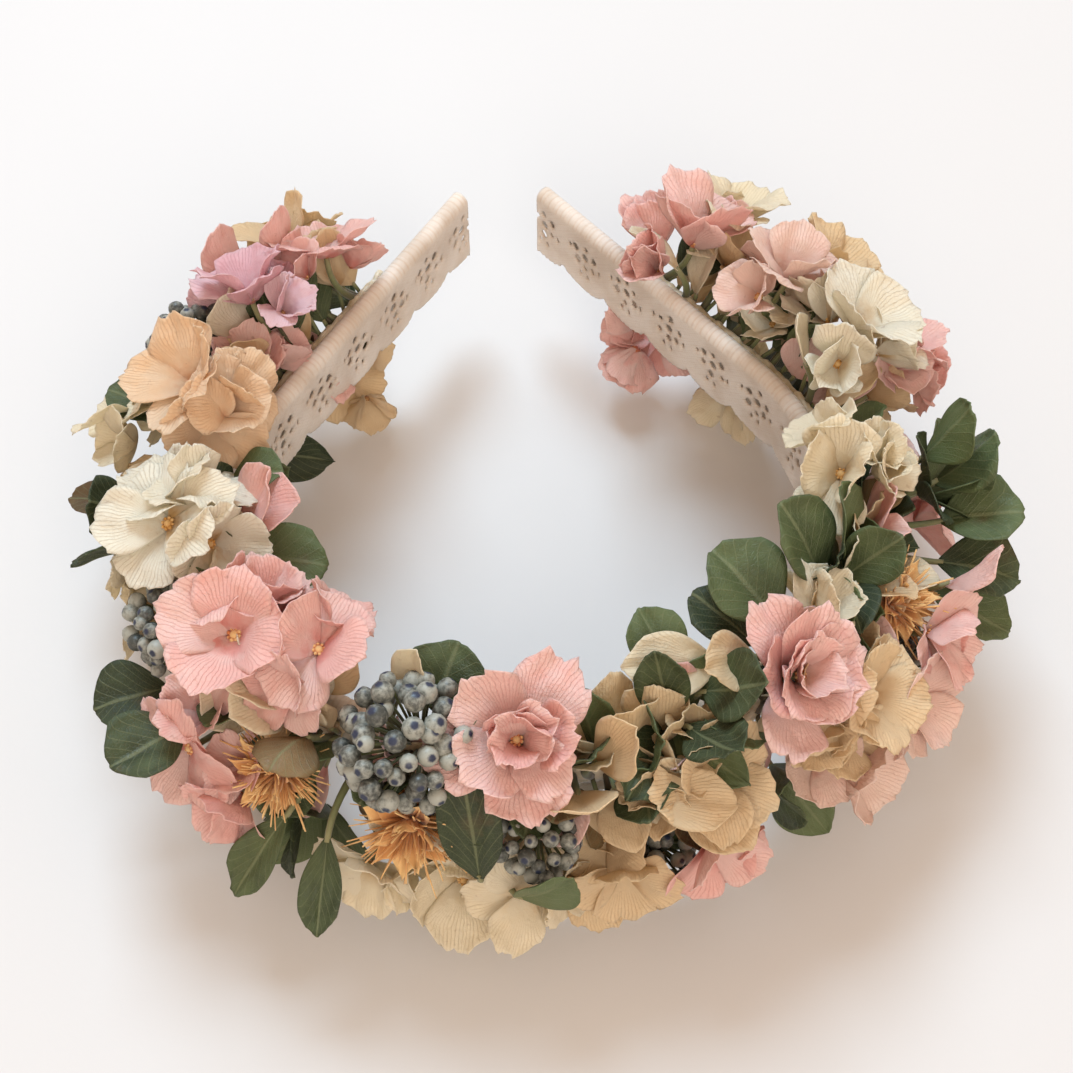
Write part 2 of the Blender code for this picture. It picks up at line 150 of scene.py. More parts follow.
# Single petals and leaves tucked in between the heads: kind, distance along the
# band, out and up of the base, direction (out, up, along), length, width and curl in
# degrees.
TUCKED = (
    ("pink", -137, 23, 9, (0.7, 0.9, -0.2), 18, 14, 30),
    ("pink", -146, 17, 10, (0.4, 1.0, -0.2), 17, 10, 25),
    ("white", -127, 13, 12, (0.6, 0.8, 0.0), 14, 13, 40),
    ("leaf", -94, 1, 12, (-0.6, 0.5, 0.1), 13, 12, 20),
    ("leaf", -92, 20, 4, (0.8, 0.8, 0.3), 15, 13, 20),
    ("pink", -86, 0, 12, (-1.0, 0.35, 0.2), 18, 14, -20),
    ("pink", -82, 0, 13, (-1.0, 0.7, -0.3), 16, 12, -40),
    ("leaf", -79, 0, 7, (-1.0, 0.15, 0.3), 16, 14, 30),
    ("bract", -40, 13, 11, (0.5, 0.9, -0.1), 13, 13, -60),
    ("leaf", -22, 0, 13, (-0.7, 0.7, 0.1), 15, 14, 20),
    ("cream", -29, 0, 16, (-0.4, 1.0, 0.3), 16, 8, -20),
    ("leaf", -12, 25, -2, (-0.3, 1.0, -0.1), 26, 12, 25),
    ("leaf", -7, 26, -8, (0.3, 0.8, 0.5), 20, 12, 20),
    ("leaf", -40, 23, -4, (0.8, -0.5, -0.2), 19, 9, 15),
    ("leaf", -33, 24, -2, (0.9, -0.4, 0.3), 17, 9, 15),
    ("tan", 6, 10, 13, (0.1, 0.9, 0.7), 17, 12, -30),
    ("tan", 3, 14, 10, (0.9, 0.5, 0.1), 16, 13, -40),
    ("tan", 13, 17, 8, (0.4, 0.5, 0.9), 18, 11, 20),
    ("tan", 20, 16, 3, (0.9, 0.4, 0.3), 16, 13, 30),
    ("cream", 32, 0, 16, (-0.3, 0.4, -1.0), 21, 13, 15),
    ("tan", 38, 3, 17, (-0.1, 0.5, -0.9), 16, 12, -15),
    ("leaf", 24, -2, 14, (-0.7, 0.5, -0.1), 15, 13, 20),
    ("leaf", 27, 3, 15, (0.6, 0.6, 0.5), 19, 14, -30),
    ("leaf", 22, 8, 14, (0.9, 0.5, 0.2), 18, 13, -30),
    ("leaf", 47, 0, 15, (-0.9, 0.7, 0.0), 18, 16, 25),
    ("leaf", 41, 0, 14, (-1.0, 0.5, -0.2), 15, 13, 20),
    ("leaf", 60, 2, 15, (-0.5, 0.9, 0.1), 18, 15, 20),
    ("leaf", 66, 4, 14, (-0.1, 0.9, 0.4), 16, 14, 20),
    ("leaf", 87, 23, 6, (0.9, 0.8, 0.2), 18, 18, 20),
    ("leaf", 90, 21, 9, (0.6, 1.0, 0.1), 16, 16, 15),
    ("leaf", 82, 24, 3, (1.0, 0.5, 0.0), 17, 17, 20),
    ("leaf", 77, 24, -1, (1.0, 0.2, -0.1), 17, 16, 20),
    ("leaf", 74, 24, -6, (1.0, 0.0, -0.3), 17, 15, 20),
    ("pink", 71, 25, 5, (0.8, 0.7, 0.3), 14, 12, 25),
    ("bract", -96, 24, -2, (1.0, 0.1, -0.1), 13, 9, 20),
    ("leaf", -66, 22, -4, (1.0, 0.1, -0.2), 16, 15, 20),
    ("leaf", -58, 24, 0, (1.0, 0.3, 0.0), 15, 14, 20),
    ("leaf", -110, 22, 3, (1.0, 0.4, 0.0), 14, 12, 20),
    ("cream", 110, 5, 15, (-0.3, 0.9, 0.6), 13, 9, -30),
    ("pink", 90, 24, -2, (1.0, 0.4, -0.2), 14, 9, 25),
    ("cream", 147, 4, 12, (-0.2, 0.6, 0.9), 15, 7, 15),
)

# Small florets between the heads: tone, distance along the band, out, up, size, how
# far the petals stand up in degrees, and facing (out, up, along).
LOW_FLORETS = (
    ("pink", -55, 25, 0, 12.5, 34, (1.0, 0.4, 0.0)),
    ("pink", -47, 24, -5, 11.0, 40, (1.0, 0.1, 0.2)),
    ("cream", -28, 22, -12, 12.0, 26, (1.0, 0.1, 0.0)),
    ("cream", -6, 23, -12, 13.0, 22, (1.0, 0.4, 0.0)),
    ("tan", 9, 21, -11, 11.5, 30, (1.0, 0.3, 0.0)),
    ("pink", 21, 23, -5, 11.5, 34, (1.0, 0.4, 0.0)),
    ("blush", 44, 24, -6, 12.0, 30, (1.0, 0.3, 0.1)),
    ("blush", 56, 25, -4, 12.5, 26, (1.0, 0.5, 0.0)),
    ("pink", 64, 24, 2, 11.5, 34, (1.0, 0.6, 0.0)),
    ("cream", -90, 22, -7, 11.0, 30, (1.0, 0.2, 0.0)),
    ("cream", -111, 19, 9, 11.5, 34, (0.8, 0.8, 0.0)),
    ("tan", -62, 9, 13, 10.5, 40, (0.1, 1.0, 0.0)),
    ("tan", 43, 14, 11, 11.0, 40, (0.6, 1.0, 0.0)),
    ("cream", 53, 5, 14, 11.0, 44, (0.1, 1.0, 0.2)),
    ("cream", 121, 16, 10, 11.5, 36, (0.6, 1.0, 0.0)),
    ("tan", 142, 14, 10, 11.0, 40, (0.5, 1.0, 0.0)),
    ("pink", -122, 10, 8, 10.5, 44, (-0.1, 1.0, 0.2)),
    ("tan", 107, 20, 0, 11.0, 30, (1.0, 0.2, 0.0)),
)

# Distances from the band's middle, on either side, at which it bends.
SHOULDER_JOINT = 33.3
ARM_JOINT = 99.9

# Stretches of the strips, one over each joint: the two bodies that meet there, its
# distance along, and the bodies whose part of the strip it stands for. They meet at
# the seams, half way between the joints.
STRETCHES = (
    ("left_arm", "left_shoulder", -ARM_JOINT, ("left_arm",)),
    ("left_shoulder", "crown", -SHOULDER_JOINT, ("left_shoulder",)),
    ("crown", "right_shoulder", SHOULDER_JOINT, ("crown", "right_shoulder")),
    ("right_shoulder", "right_arm", ARM_JOINT, ("right_arm",)),
)
SEAMS = (-66.6, 0.0, 66.6)

# Distance in mm to either side of a joint of the two points that are worked out for a strip's bend.
BEND_HALF = 9.0

# Filling under the heads: kind and how often it comes up. Its rows have the distance
# along at which they start and a range of turns in radians round the glue, from
# straight out (0) to straight up. It leaves some room at each joint.
FILLING = (("leaf", 5), ("cream", 3), ("tan", 3), ("pink", 2), ("bract", 1))
FILLING_ROWS = ((-156.0, -1.3, 0.5), (-155.0, 0.3, 1.3), (-94.0, 1.2, 2.1))
FILLING_STEP = 2.9
FILLING_SEED = 11
JOINT_ROOM = 4.5

# Sections of the strips inside and on the lace: distance out of their middle, half
# their depth and half their height. The glue is lumpy and ends short of the band.
CORE_SECTION = (1.9, 0.6, 5.0)
GLUE_SECTION = (5.2, 1.1, 3.8)
GLUE_END = 162.0
GLUE_LUMPS = 0.12
STRIP_STEP = 1.2

# How far out in the glue the stems stand, and the radius in metres of a short one.
STEM_FOOT_OUT = 6.2
STALK_RADIUS = 0.0005

# Radians from a petal or leaf to the next one up a spiral.
SPIRAL_TURN = 2.4

# Crochet lace: length of a motif and height of its middle, height of the fold and of
# the scallops' roots, drop of a scallop, the fold's radius, distance out and points,
# top of the flat flaps, spare cloth that is cut off below the edge, length of a cell
# of the grid, how far in the thread is rounded, and the share of the cut that is
# cloth.
MOTIF = 13.8
MOTIF_UP = -2.4
LACE_TOP = 6.3
EDGE_UP = -9.7
SCALLOP = 3.5
FOLD_RADIUS = 1.55
FOLD_OUT = 1.9
FOLD_POINTS = 10
FLAP_UP = LACE_TOP - FOLD_RADIUS - 0.25
SPARE = 0.9
LACE_STEP = 0.44
THREAD_EDGE = 0.8
CLOTH_SHARE = 0.90

# Holes of a motif: half their width and height and the power of their outline. The
# ring has its distance from the middle, the slits theirs across and up. Small loops
# edge the scallop under it.
MIDDLE_HOLE = (1.1, 1.15, 2.0)
RING_HOLE = (0.86, 1.05, 1.5)
RING_REACH = 3.3
LOW_SLIT = (0.5, 0.9, 1.6)
LOW_SLIT_AT = (1.2, -5.7)
SIDE_SLIT = (0.42, 0.8, 1.6)
SIDE_SLIT_AT = (4.9, 1.1)
LOOPS = 9

# Stage, in metres: half the table's side, the room's light, the lamps with their
# name, place, side, power in watts and colour, and the camera.
TABLE_HALF = 12.0
ROOM_COLOUR = (1.0, 0.77, 0.61, 1.0)
ROOM_STRENGTH = 0.80
LAMP_AIM = (0.0, 0.05, 0.0)
LAMPS = (
    ("window", (-0.2, 1.3, 1.9), 1.0, 45.0, (0.60, 0.82, 1.0)),
    ("fill", (0.15, -1.1, 1.0), 0.9, 9.5, (1.0, 0.94, 0.87)),
)
CAMERA_PLACE = (-0.0156, -0.1498, 0.3074)
CAMERA_AIM = (0.0006, 0.0479, 0.0)
CAMERA_LENS = 60.2
CAMERA_SENSOR = 36.0
CAMERA_NEAR = 0.01

# Plan of the band along the inner face of the lace, metres and degrees.
FLAT_HALF = 0.003
CROWN_RADIUS = 0.060
CROWN_BEND = 38.0
SIDE_RADIUS = 0.050
TOTAL_BEND = 127.0
TIP_HALF_GAP = 0.008


def path_pieces():
    """Length and bend of each stretch of one half: flat, crown arc, side arc, arm."""
    crown = radians(CROWN_BEND)
    total = radians(TOTAL_BEND)
    side = total - crown
    corner = FLAT_HALF + CROWN_RADIUS * sin(crown) + SIDE_RADIUS * (sin(total) - sin(crown))
    arm = (corner - TIP_HALF_GAP) / -cos(total)
    return (FLAT_HALF, 0.0), (CROWN_RADIUS * crown, crown), (SIDE_RADIUS * side, side), (arm, 0.0)


HALF_LENGTH = sum(length for length, bend in path_pieces()) / MM


def on_path(along):
    """Plan point and outward direction at distances along the band, in metres:
    straight lines and arcs end to end, each as far as the distance reaches."""
    left = np.abs(along) * MM
    x = np.zeros_like(left)
    y = np.zeros_like(left)
    heading = np.zeros_like(left)
    for length, bend in path_pieces():
        run = np.minimum(left, length)
        turn = bend * run / length
        if bend:
            radius = length / bend
            x += radius * (np.sin(heading + turn) - np.sin(heading))
            y += radius * (np.cos(heading) - np.cos(heading + turn))
        else:
            x += run * np.cos(heading)
            y += run * np.sin(heading)
        heading += turn
        left -= run
    side = np.where(np.asarray(along) < 0, -1.0, 1.0)
    return x * side, y, np.sin(heading) * side, -np.cos(heading)


def on_band(along, out, up):
    """Points in metres at distances along the band, out of it and up, in mm."""
    along, out, up = np.broadcast_arrays(*(np.asarray(v, float) for v in (along, out, up)))
    x, y, out_x, out_y = on_path(along)
    return np.stack((x + out_x * out * MM, y + out_y * out * MM, up * MM), -1)


def way(along, parts):
    """Unit vector at a distance along the band, from its parts out, up and along."""
    out_x, out_y = on_path(np.asarray(float(along)))[2:]
    out, up, ahead = parts
    vector = np.array((out_x * out - out_y * ahead, out_y * out + out_x * ahead, up))
    return vector / np.linalg.norm(vector)


def body_at(along):
    """Body of the band at a distance along it, in millimetres."""
    side = "left" if along < 0 else "right"
    if abs(along) < SHOULDER_JOINT:
        return "crown"
    return f"{side}_shoulder" if abs(along) < ARM_JOINT else f"{side}_arm"


class Sheets:
    """Grids of points gathered into one mesh. Every grid has a map from 0 to 1
    across its columns and along its rows, a shade and a finish."""

    def __init__(self):
        self.points, self.maps, self.shades = [], [], []
        self.quads, self.quad_finish = [], []
        self.fans, self.fan_finish = [], []
        self.count = 0

    def add_points(self, points, across, along, shade):
        """Adds a block of points with its map and shade, and returns their numbers."""
        shape = points.shape[:-1]
        self.points.append(points.reshape(-1, 3))
        maps = np.stack(np.broadcast_arrays(across, along), -1)
        self.maps.append(np.broadcast_to(maps, (*shape, 2)).reshape(-1, 2))
        self.shades.append(np.broadcast_to(shade, shape).ravel())
        numbers = np.arange(np.prod(shape)).reshape(shape) + self.count
        self.count += numbers.size
        return numbers

    def add(self, grids, finish=0, shade=0.5, around=False):
        """Adds a stack of grids, (number, rows, columns, 3). With around, the last
        column joins the first, and a fan about the middle closes each end."""
        number, rows, columns = grids.shape[:3]
        across = np.linspace(0, 1, columns)[None, None, :]
        along = np.linspace(0, 1, rows)[None, :, None]
        shade = np.broadcast_to(shade, number)
        numbers = self.add_points(grids, across, along, shade[:, None, None])
        if around:
            first = self.add_points(grids[:, 0].mean(1), 0.5, 0.0, shade)[:, None]
            last = self.add_points(grids[:, -1].mean(1), 0.5, 1.0, shade)[:, None]
            numbers = np.concatenate((numbers, numbers[:, :, :1]), 2)
            self.add_fan(first, numbers[:, 0, 1:], numbers[:, 0, :-1], finish)
            self.add_fan(last, numbers[:, -1, :-1], numbers[:, -1, 1:], finish)
        self.add_quads(numbers[:, :-1, :-1], numbers[:, :-1, 1:], numbers[:, 1:, 1:],
                       numbers[:, 1:, :-1], finish)

    def add_thin(self, grids, thickness, finish=0, shade=0.5):
        """Adds a stack of thin sheets: each grid moved half the thickness to either
        side along its own normals, and a rim that joins the two round the edge."""
        number, rows, columns = grids.shape[:3]
        across = np.linspace(0, 1, columns)[None, None, :]
        along = np.linspace(0, 1, rows)[None, :, None]
        shade = np.broadcast_to(shade, number)[:, None, None]
        normal = np.cross(np.gradient(grids, axis=2), np.gradient(grids, axis=1))
        normal = normal / np.maximum(np.linalg.norm(normal, axis=-1, keepdims=True), 1e-12)
        normal = normal * thickness / 2
        front = self.add_points(grids + normal, across, along, shade)
        back = self.add_points(grids - normal, across, along, shade)
        self.add_quads(front[:, :-1, :-1], front[:, :-1, 1:], front[:, 1:, 1:],
                       front[:, 1:, :-1], finish)
        self.add_quads(back[:, :-1, :-1], back[:, 1:, :-1], back[:, 1:, 1:],
                       back[:, :-1, 1:], finish)
        edge = [np.concatenate((side[:, 0, :-1], side[:, :-1, -1], side[:, -1, :0:-1],
                                side[:, :0:-1, 0]), 1) for side in (front, back)]
        after = [np.roll(ring, -1, 1) for ring in edge]
        self.add_quads(edge[0], edge[1], after[1], after[0], finish)

    def add_quads(self, first, second, third, fourth, finish):
        """Quads from four blocks of point numbers."""
        quads = np.stack((first, second, third, fourth), -1).reshape(-1, 4)
        self.quads.append(quads)
        self.quad_finish.append(np.full(len(quads), finish))

    def add_fan(self, middle, start, end, finish):
        """Triangles from a middle point to each edge of a ring."""
        fan = np.stack(np.broadcast_arrays(middle, start, end), -1).reshape(-1, 3)
        self.fans.append(fan)
        self.fan_finish.append(np.full(len(fan), finish))

    def make(self, name, finishes):
        """Writes the gathered grids into one object, without the points that no
        face uses."""
        quads = np.concatenate(self.quads)
        fans = np.concatenate(self.fans) if self.fans else np.zeros((0, 3), int)
        starts = np.concatenate((np.arange(len(quads)) * 4, quads.size + np.arange(len(fans)) * 3))
        used, corners = np.unique(np.concatenate((quads.ravel(), fans.ravel())), return_inverse=True)
        maps = np.concatenate(self.maps)[used]
        finish_numbers = np.concatenate(self.quad_finish + self.fan_finish)
        mesh = bpy.data.meshes.new(name)
        mesh.vertices.add(len(used))
        mesh.vertices.foreach_set("co", np.concatenate(self.points)[used].ravel())
        mesh.loops.add(len(corners))
        mesh.loops.foreach_set("vertex_index", corners)
        mesh.polygons.add(len(starts))
        mesh.polygons.foreach_set("loop_start", starts)
        mesh.polygons.foreach_set("material_index", finish_numbers)
        mesh.uv_layers.new(name="map").data.foreach_set("uv", maps[corners].ravel())
        shades = mesh.attributes.new("shade", "FLOAT", "POINT")
        shades.data.foreach_set("value", np.concatenate(self.shades)[used])
        mesh.update(calc_edges=True)
        mesh.shade_smooth()
        for finish in finishes:
            mesh.materials.append(finish)
        piece = bpy.data.objects.new(name, mesh)
        bpy.context.scene.collection.objects.link(piece)
        return piece


def column(values):
    """One number for each grid of a stack, ready to meet its rows and columns."""
    return np.atleast_1d(np.asarray(values, float))[:, None, None]


def petal_shapes(rng, turns, length, width, opening, curl, cup, base=0.6, neck=0.2,
                 wide=0.62, blunt=0.25, tip=0.3, ruffle=0.06, crumple=0.04, pleat=0.05,
                 crease=0.0, rows=21, columns=15):
    """Petals round the +Z axis, in mm. Row u goes from base to tip and column v
    across. Each follows an arc that starts at the angle opening above the ground
    and bends down by curl. Its half width rises as a sine to its widest and then
    narrows, its outer corners are cut back and its edge is uneven. Waves at the
    edge, sharp pleats that fan from the base, crumples, a cup and a crease along
    the middle lift it off the arc."""
    u = np.linspace(0, 1, rows)[None, :, None]
    v = np.linspace(-1, 1, columns)[None, None, :]
    number = len(np.atleast_1d(turns))
    phase = rng.uniform(0, 2 * pi, (7, number, 1, 1))
    length = column(length) * rng.uniform(0.9, 1.08, (number, 1, 1))
    width = column(width) * rng.uniform(0.88, 1.1, (number, 1, 1))
    opening = np.radians(column(opening))
    curl = np.radians(column(curl))
    curl = np.where(np.abs(curl) < 0.02, 0.02, curl)
    uneven = 0.6 * ruffle * np.sin(7 * v + phase[5]) + 0.4 * ruffle * np.sin(16 * v + phase[6])
    t = u * (1 - tip * np.abs(v) ** 2.5 * u + uneven * u ** 4)
    angle = opening - curl * t
    reach = column(base) + length * (np.sin(opening) - np.sin(angle)) / curl
    rise = length * (np.cos(angle) - np.cos(opening)) / curl
    swell = np.sin(pi / 2 * np.minimum(t / wide, 1))
    half = width / 2 * (neck + (1 - neck) * swell)
    half = half * (1 - blunt * np.maximum(0, (t - wide) / (1 - wide)) ** 2)
    half = half * (1 + ruffle * np.sin(11 * t + phase[6]) * t)
    side = v * half + 0.05 * length * t * t * np.sin(phase[4])
    wave = ruffle * length * np.abs(v) ** 1.6 * t * np.sin(9 * t + 2.2 * v + phase[0])
    folds = np.abs(np.sin(3.4 * v + 0.8 * t + phase[3]))
    folds = folds + 0.5 * np.abs(np.sin(7.7 * v - t + phase[2]))
    across = np.abs(np.sin(4.2 * t + 1.7 * v + phase[5])) - 0.6
    lumps = np.sin(7 * t + 3 * v + phase[1]) * np.sin(5.3 * v - 3.1 * t + phase[2])
    fine = np.sin(17 * t + phase[3] + 6 * v) * np.sin(14 * v + phase[1])
    lift = column(cup) * half * v * v + wave + crumple * length * t * (lumps + 0.35 * fine)
    lift = lift + pleat * length * (folds * t + 0.5 * across * t * t)
    lift = lift + crease * half * (np.abs(v) ** 0.8)
    x = reach - np.sin(angle) * lift
    z = rise + np.cos(angle) * lift
    turns = column(turns)
    return np.stack((x * np.cos(turns) - side * np.sin(turns),
                     x * np.sin(turns) + side * np.cos(turns), z), -1)


def stand(grids, centre, facing, spin=0.0):
    """Stands shapes made round +Z, in mm, at a centre in metres, their axis turned
    to face a way and themselves spun about it."""
    aside = np.cross(facing, (0.31, 0.17, 0.93) if abs(facing[2]) < 0.9 else (0.95, 0.3, 0.1))
    aside = aside / np.linalg.norm(aside)
    third = np.cross(facing, aside)
    first = aside * cos(spin) + third * sin(spin)
    second = np.cross(facing, first)
    return centre + grids @ np.stack((first, second, facing)) * MM


def tubes(paths, radii, sides):
    """Tubes along a stack of paths, (number, rows, 3): a ring of points about each
    path point, square to the path there."""
    along = np.gradient(paths, axis=1)
    along = along / np.linalg.norm(along, axis=-1, keepdims=True)
    run = paths[:, -1] - paths[:, 0]
    thin = np.eye(3)[np.argmin(np.abs(run), -1)]
    first = np.cross(along, thin[:, None, :])
    first = first / np.linalg.norm(first, axis=-1, keepdims=True)
    second = np.cross(along, first)
    angle = (np.arange(sides) * 2 * pi / sides)[None, None, :, None]
    ring = first[:, :, None] * np.cos(angle) + second[:, :, None] * np.sin(angle)
    return paths[:, :, None] + ring * np.asarray(radii)[..., None, None]


def balls(centres, axes, radii, rows, columns, star=0.0):
    """Round balls about centres, with rings from the foot of each axis to its tip.
    Two bells across the rings raise five teeth round the tip and sink its middle,
    star high."""
    end, teeth_at, teeth_width = 0.2, 0.4, 0.22
    theta = np.linspace(pi - end, end, rows)[:, None]
    phi = (np.arange(columns) * 2 * pi / columns)[None, :]
    teeth = np.exp(-((theta - teeth_at) / teeth_width) ** 2) * (0.6 + 0.8 * np.cos(5 * phi))
    size = 1 + star * teeth - 1.6 * star * np.exp(-(theta / teeth_width) ** 2)
    spare = np.where(np.abs(axes[:, 2:]) < 0.8, (0.0, 0.0, 1.0), (1.0, 0.0, 0.0))
    first = np.cross(spare, axes)
    first = first / np.linalg.norm(first, axis=-1, keepdims=True)
    second = np.cross(axes, first)
    rings = np.stack((np.sin(theta) * np.cos(phi), np.sin(theta) * np.sin(phi),
                      np.cos(theta) * np.ones_like(phi)), -1) * size[..., None]
    basis = np.stack((first, second, axes), 1)
    return centres[:, None, None] + rings @ basis[:, None] * np.asarray(radii)[:, None, None, None]


def spread(number, rng, jitter):
    """Unit vectors spread evenly over a ball by the golden angle, slightly shaken."""
    step = np.arange(number) + 0.5
    z = 1 - 2 * step / number
    turn = step * pi * (3 - 5 ** 0.5)
    ring = np.sqrt(1 - z * z)
    vectors = np.stack((ring * np.cos(turn), ring * np.sin(turn), z), -1)
    vectors = vectors + rng.normal(0, jitter, vectors.shape)
    return vectors / np.linalg.norm(vectors, axis=-1, keepdims=True)


def paint(red, green, blue):
    """A display colour from 0 to 255 as the linear colour that shaders take."""
    values = np.array((red, green, blue)) / 255
    linear = np.where(values <= 0.04045, values / 12.92, ((values + 0.055) / 1.055) ** 2.4)
    return tuple(float(v) for v in linear)


class Value:
    """A value that changes over a surface. Sums on it add Math nodes."""

    def __init__(self, finish, socket):
        self.finish = finish
        self.socket = socket

    def __add__(self, other):
        return self.finish.math("ADD", self, other)

    def __radd__(self, other):
        return self.finish.math("ADD", other, self)

    def __sub__(self, other):
        return self.finish.math("SUBTRACT", self, other)

    def __rsub__(self, other):
        return self.finish.math("SUBTRACT", other, self)

    def __mul__(self, other):
        return self.finish.math("MULTIPLY", self, other)

    def __rmul__(self, other):
        return self.finish.math("MULTIPLY", other, self)

    def __truediv__(self, other):
        return self.finish.math("DIVIDE", self, other)

    def __rtruediv__(self, other):
        return self.finish.math("DIVIDE", other, self)

    def __abs__(self):
        return self.finish.math("ABSOLUTE", self)


class Finish:
    """A material being built, node by node."""

    def __init__(self, name):
        self.material = bpy.data.materials.new(name)
        self.material.use_nodes = True
        self.tree = self.material.node_tree
        self.tree.nodes.clear()

    def node(self, kind, settings=None, sockets=None, output=0):
        """Adds a node, sets it up, fills its sockets and returns one output."""
        node = self.tree.nodes.new(kind)
        for name, setting in (settings or {}).items():
            setattr(node, name, setting)
        for name, value in (sockets or {}).items():
            if isinstance(value, Value):
                self.tree.links.new(value.socket, node.inputs[name])
            else:
                node.inputs[name].default_value = value
        return Value(self, node.outputs[output]) if node.outputs else None

    def math(self, operation, *terms):
        """A Math node on its terms."""
        return self.node("ShaderNodeMath", {"operation": operation}, dict(enumerate(terms)))

    def limits(self, value, low, high, first=0.0, last=1.0):
        """Runs smoothly from first to last as value goes from low to high."""
        sockets = {"Value": value, 1: low, 2: high, 3: first, 4: last}
        return self.node("ShaderNodeMapRange", {"interpolation_type": "SMOOTHSTEP"}, sockets)

    def mix(self, factor, first, second):
        """Mixes two colours."""
        first, second = (c if isinstance(c, Value) else (*c, 1.0) for c in (first, second))
        sockets = {0: factor, 6: first, 7: second}
        return self.node("ShaderNodeMix", {"data_type": "RGBA"}, sockets, 2)

    def place(self):
        """Where a point is on the crown."""
        return self.node("ShaderNodeTexCoord", output=3)

    def map(self):
        """The piece's own map: the whole vector, across and along."""
        vector = self.node("ShaderNodeTexCoord", output=2)
        across = self.node("ShaderNodeSeparateXYZ", sockets={0: vector}, output=0)
        along = self.node("ShaderNodeSeparateXYZ", sockets={0: vector}, output=1)
        return vector, across, along

    def shade(self):
        """The number each petal, leaf, berry or hair has of its own. On the lace it is the thread's
        height, from which painted shade is drawn where the thread is low.
        """
        settings = {"attribute_type": "GEOMETRY", "attribute_name": "shade"}
        return self.node("ShaderNodeAttribute", settings, output=2)

    def noise(self, vector, scale, detail=3.0, roughness=0.55):
        """Soft clouds."""
        sockets = {"Vector": vector, "Scale": scale, "Detail": detail, "Roughness": roughness}
        return self.node("ShaderNodeTexNoise", sockets=sockets)

    def cells(self, vector, scale):
        """Distance to the edges of a net of cells."""
        settings = {"feature": "DISTANCE_TO_EDGE"}
        return self.node("ShaderNodeTexVoronoi", settings, {"Vector": vector, "Scale": scale})

    def stretched(self, vector, scale):
        """A vector multiplied by a scale for each of its directions."""
        return self.node("ShaderNodeMapping", sockets={"Vector": vector, "Scale": scale})

    def bump(self, height, strength, distance):
        """A normal that follows a height."""
        sockets = {"Height": height, "Strength": strength, "Distance": distance}
        return self.node("ShaderNodeBump", sockets=sockets)

    def principled(self, sockets):
        """The main shader, with its sockets filled."""
        return self.node("ShaderNodeBsdfPrincipled", sockets=sockets)

    def end(self, shader):
        """Joins a shader to the material's output and returns the material."""
        self.node("ShaderNodeOutputMaterial", sockets={"Surface": shader})
        return self.material


def see_through(finish, surface, glow, share):
    """Lets some of the light through a thin surface."""
    light = finish.node("ShaderNodeBsdfTranslucent", sockets={"Color": (*glow, 1.0)})
    return finish.node("ShaderNodeMixShader", sockets={0: share, 1: surface, 2: light})


def petal_finish(name, deep, middle, edge, share=0.38):
    """Dried petal: deep at the base, paler to the edge, fanned veins and a net of
    finer ones, blotches and a dry rim."""
    finish = Finish(name)
    vector, across, along = finish.map()
    place = finish.place()
    shade = finish.shade()
    blotch = finish.noise(place, 260.0, 4.0, 0.6)
    fan = (across - 0.5) / (along + 0.22)
    veins = finish.math("SINE", fan * 56.0 + blotch * 6.0)
    veins = finish.limits(abs(veins), 0.0, 0.38, 1.0, 0.0)
    net = finish.cells(finish.stretched(vector, (11.0, 15.0, 1.0)), 1.0)
    net = finish.limits(net, 0.0, 0.09, 1.0, 0.0)
    rim = finish.limits(abs(across - 0.5) * 2.0, 0.78, 1.0)
    tip = finish.limits(along, 0.86, 1.0)
    rim = finish.math("MAXIMUM", rim, tip)
    colour = finish.mix(finish.limits(along + blotch * 0.3, 0.14, 0.6), deep, middle)
    colour = finish.mix(finish.limits(blotch + shade * 0.5, 0.48, 0.96), colour, edge)
    colour = finish.mix(rim * 0.35, colour, edge)
    dark = (veins * 0.24 + net * 0.05) * (1.0 - rim * 0.4)
    colour = finish.mix(dark, colour, deep)
    fox = finish.limits(finish.noise(place, 700.0, 2.0), 0.66, 0.78)
    colour = finish.mix(fox * 0.35, colour, paint(150, 105, 70))
    height = veins * 0.32 + net * 0.08 + finish.noise(place, 900.0, 3.0) * 0.8
    surface = finish.principled({
        "Base Color": colour, "Roughness": finish.limits(blotch, 0.2, 0.8, 0.5, 0.7),
        "Specular IOR Level": 0.32, "Sheen Weight": 0.12, "Sheen Roughness": 0.5,
        "Normal": finish.bump(height, 0.7, 0.0006)})
    return finish.end(see_through(finish, surface, middle, share))


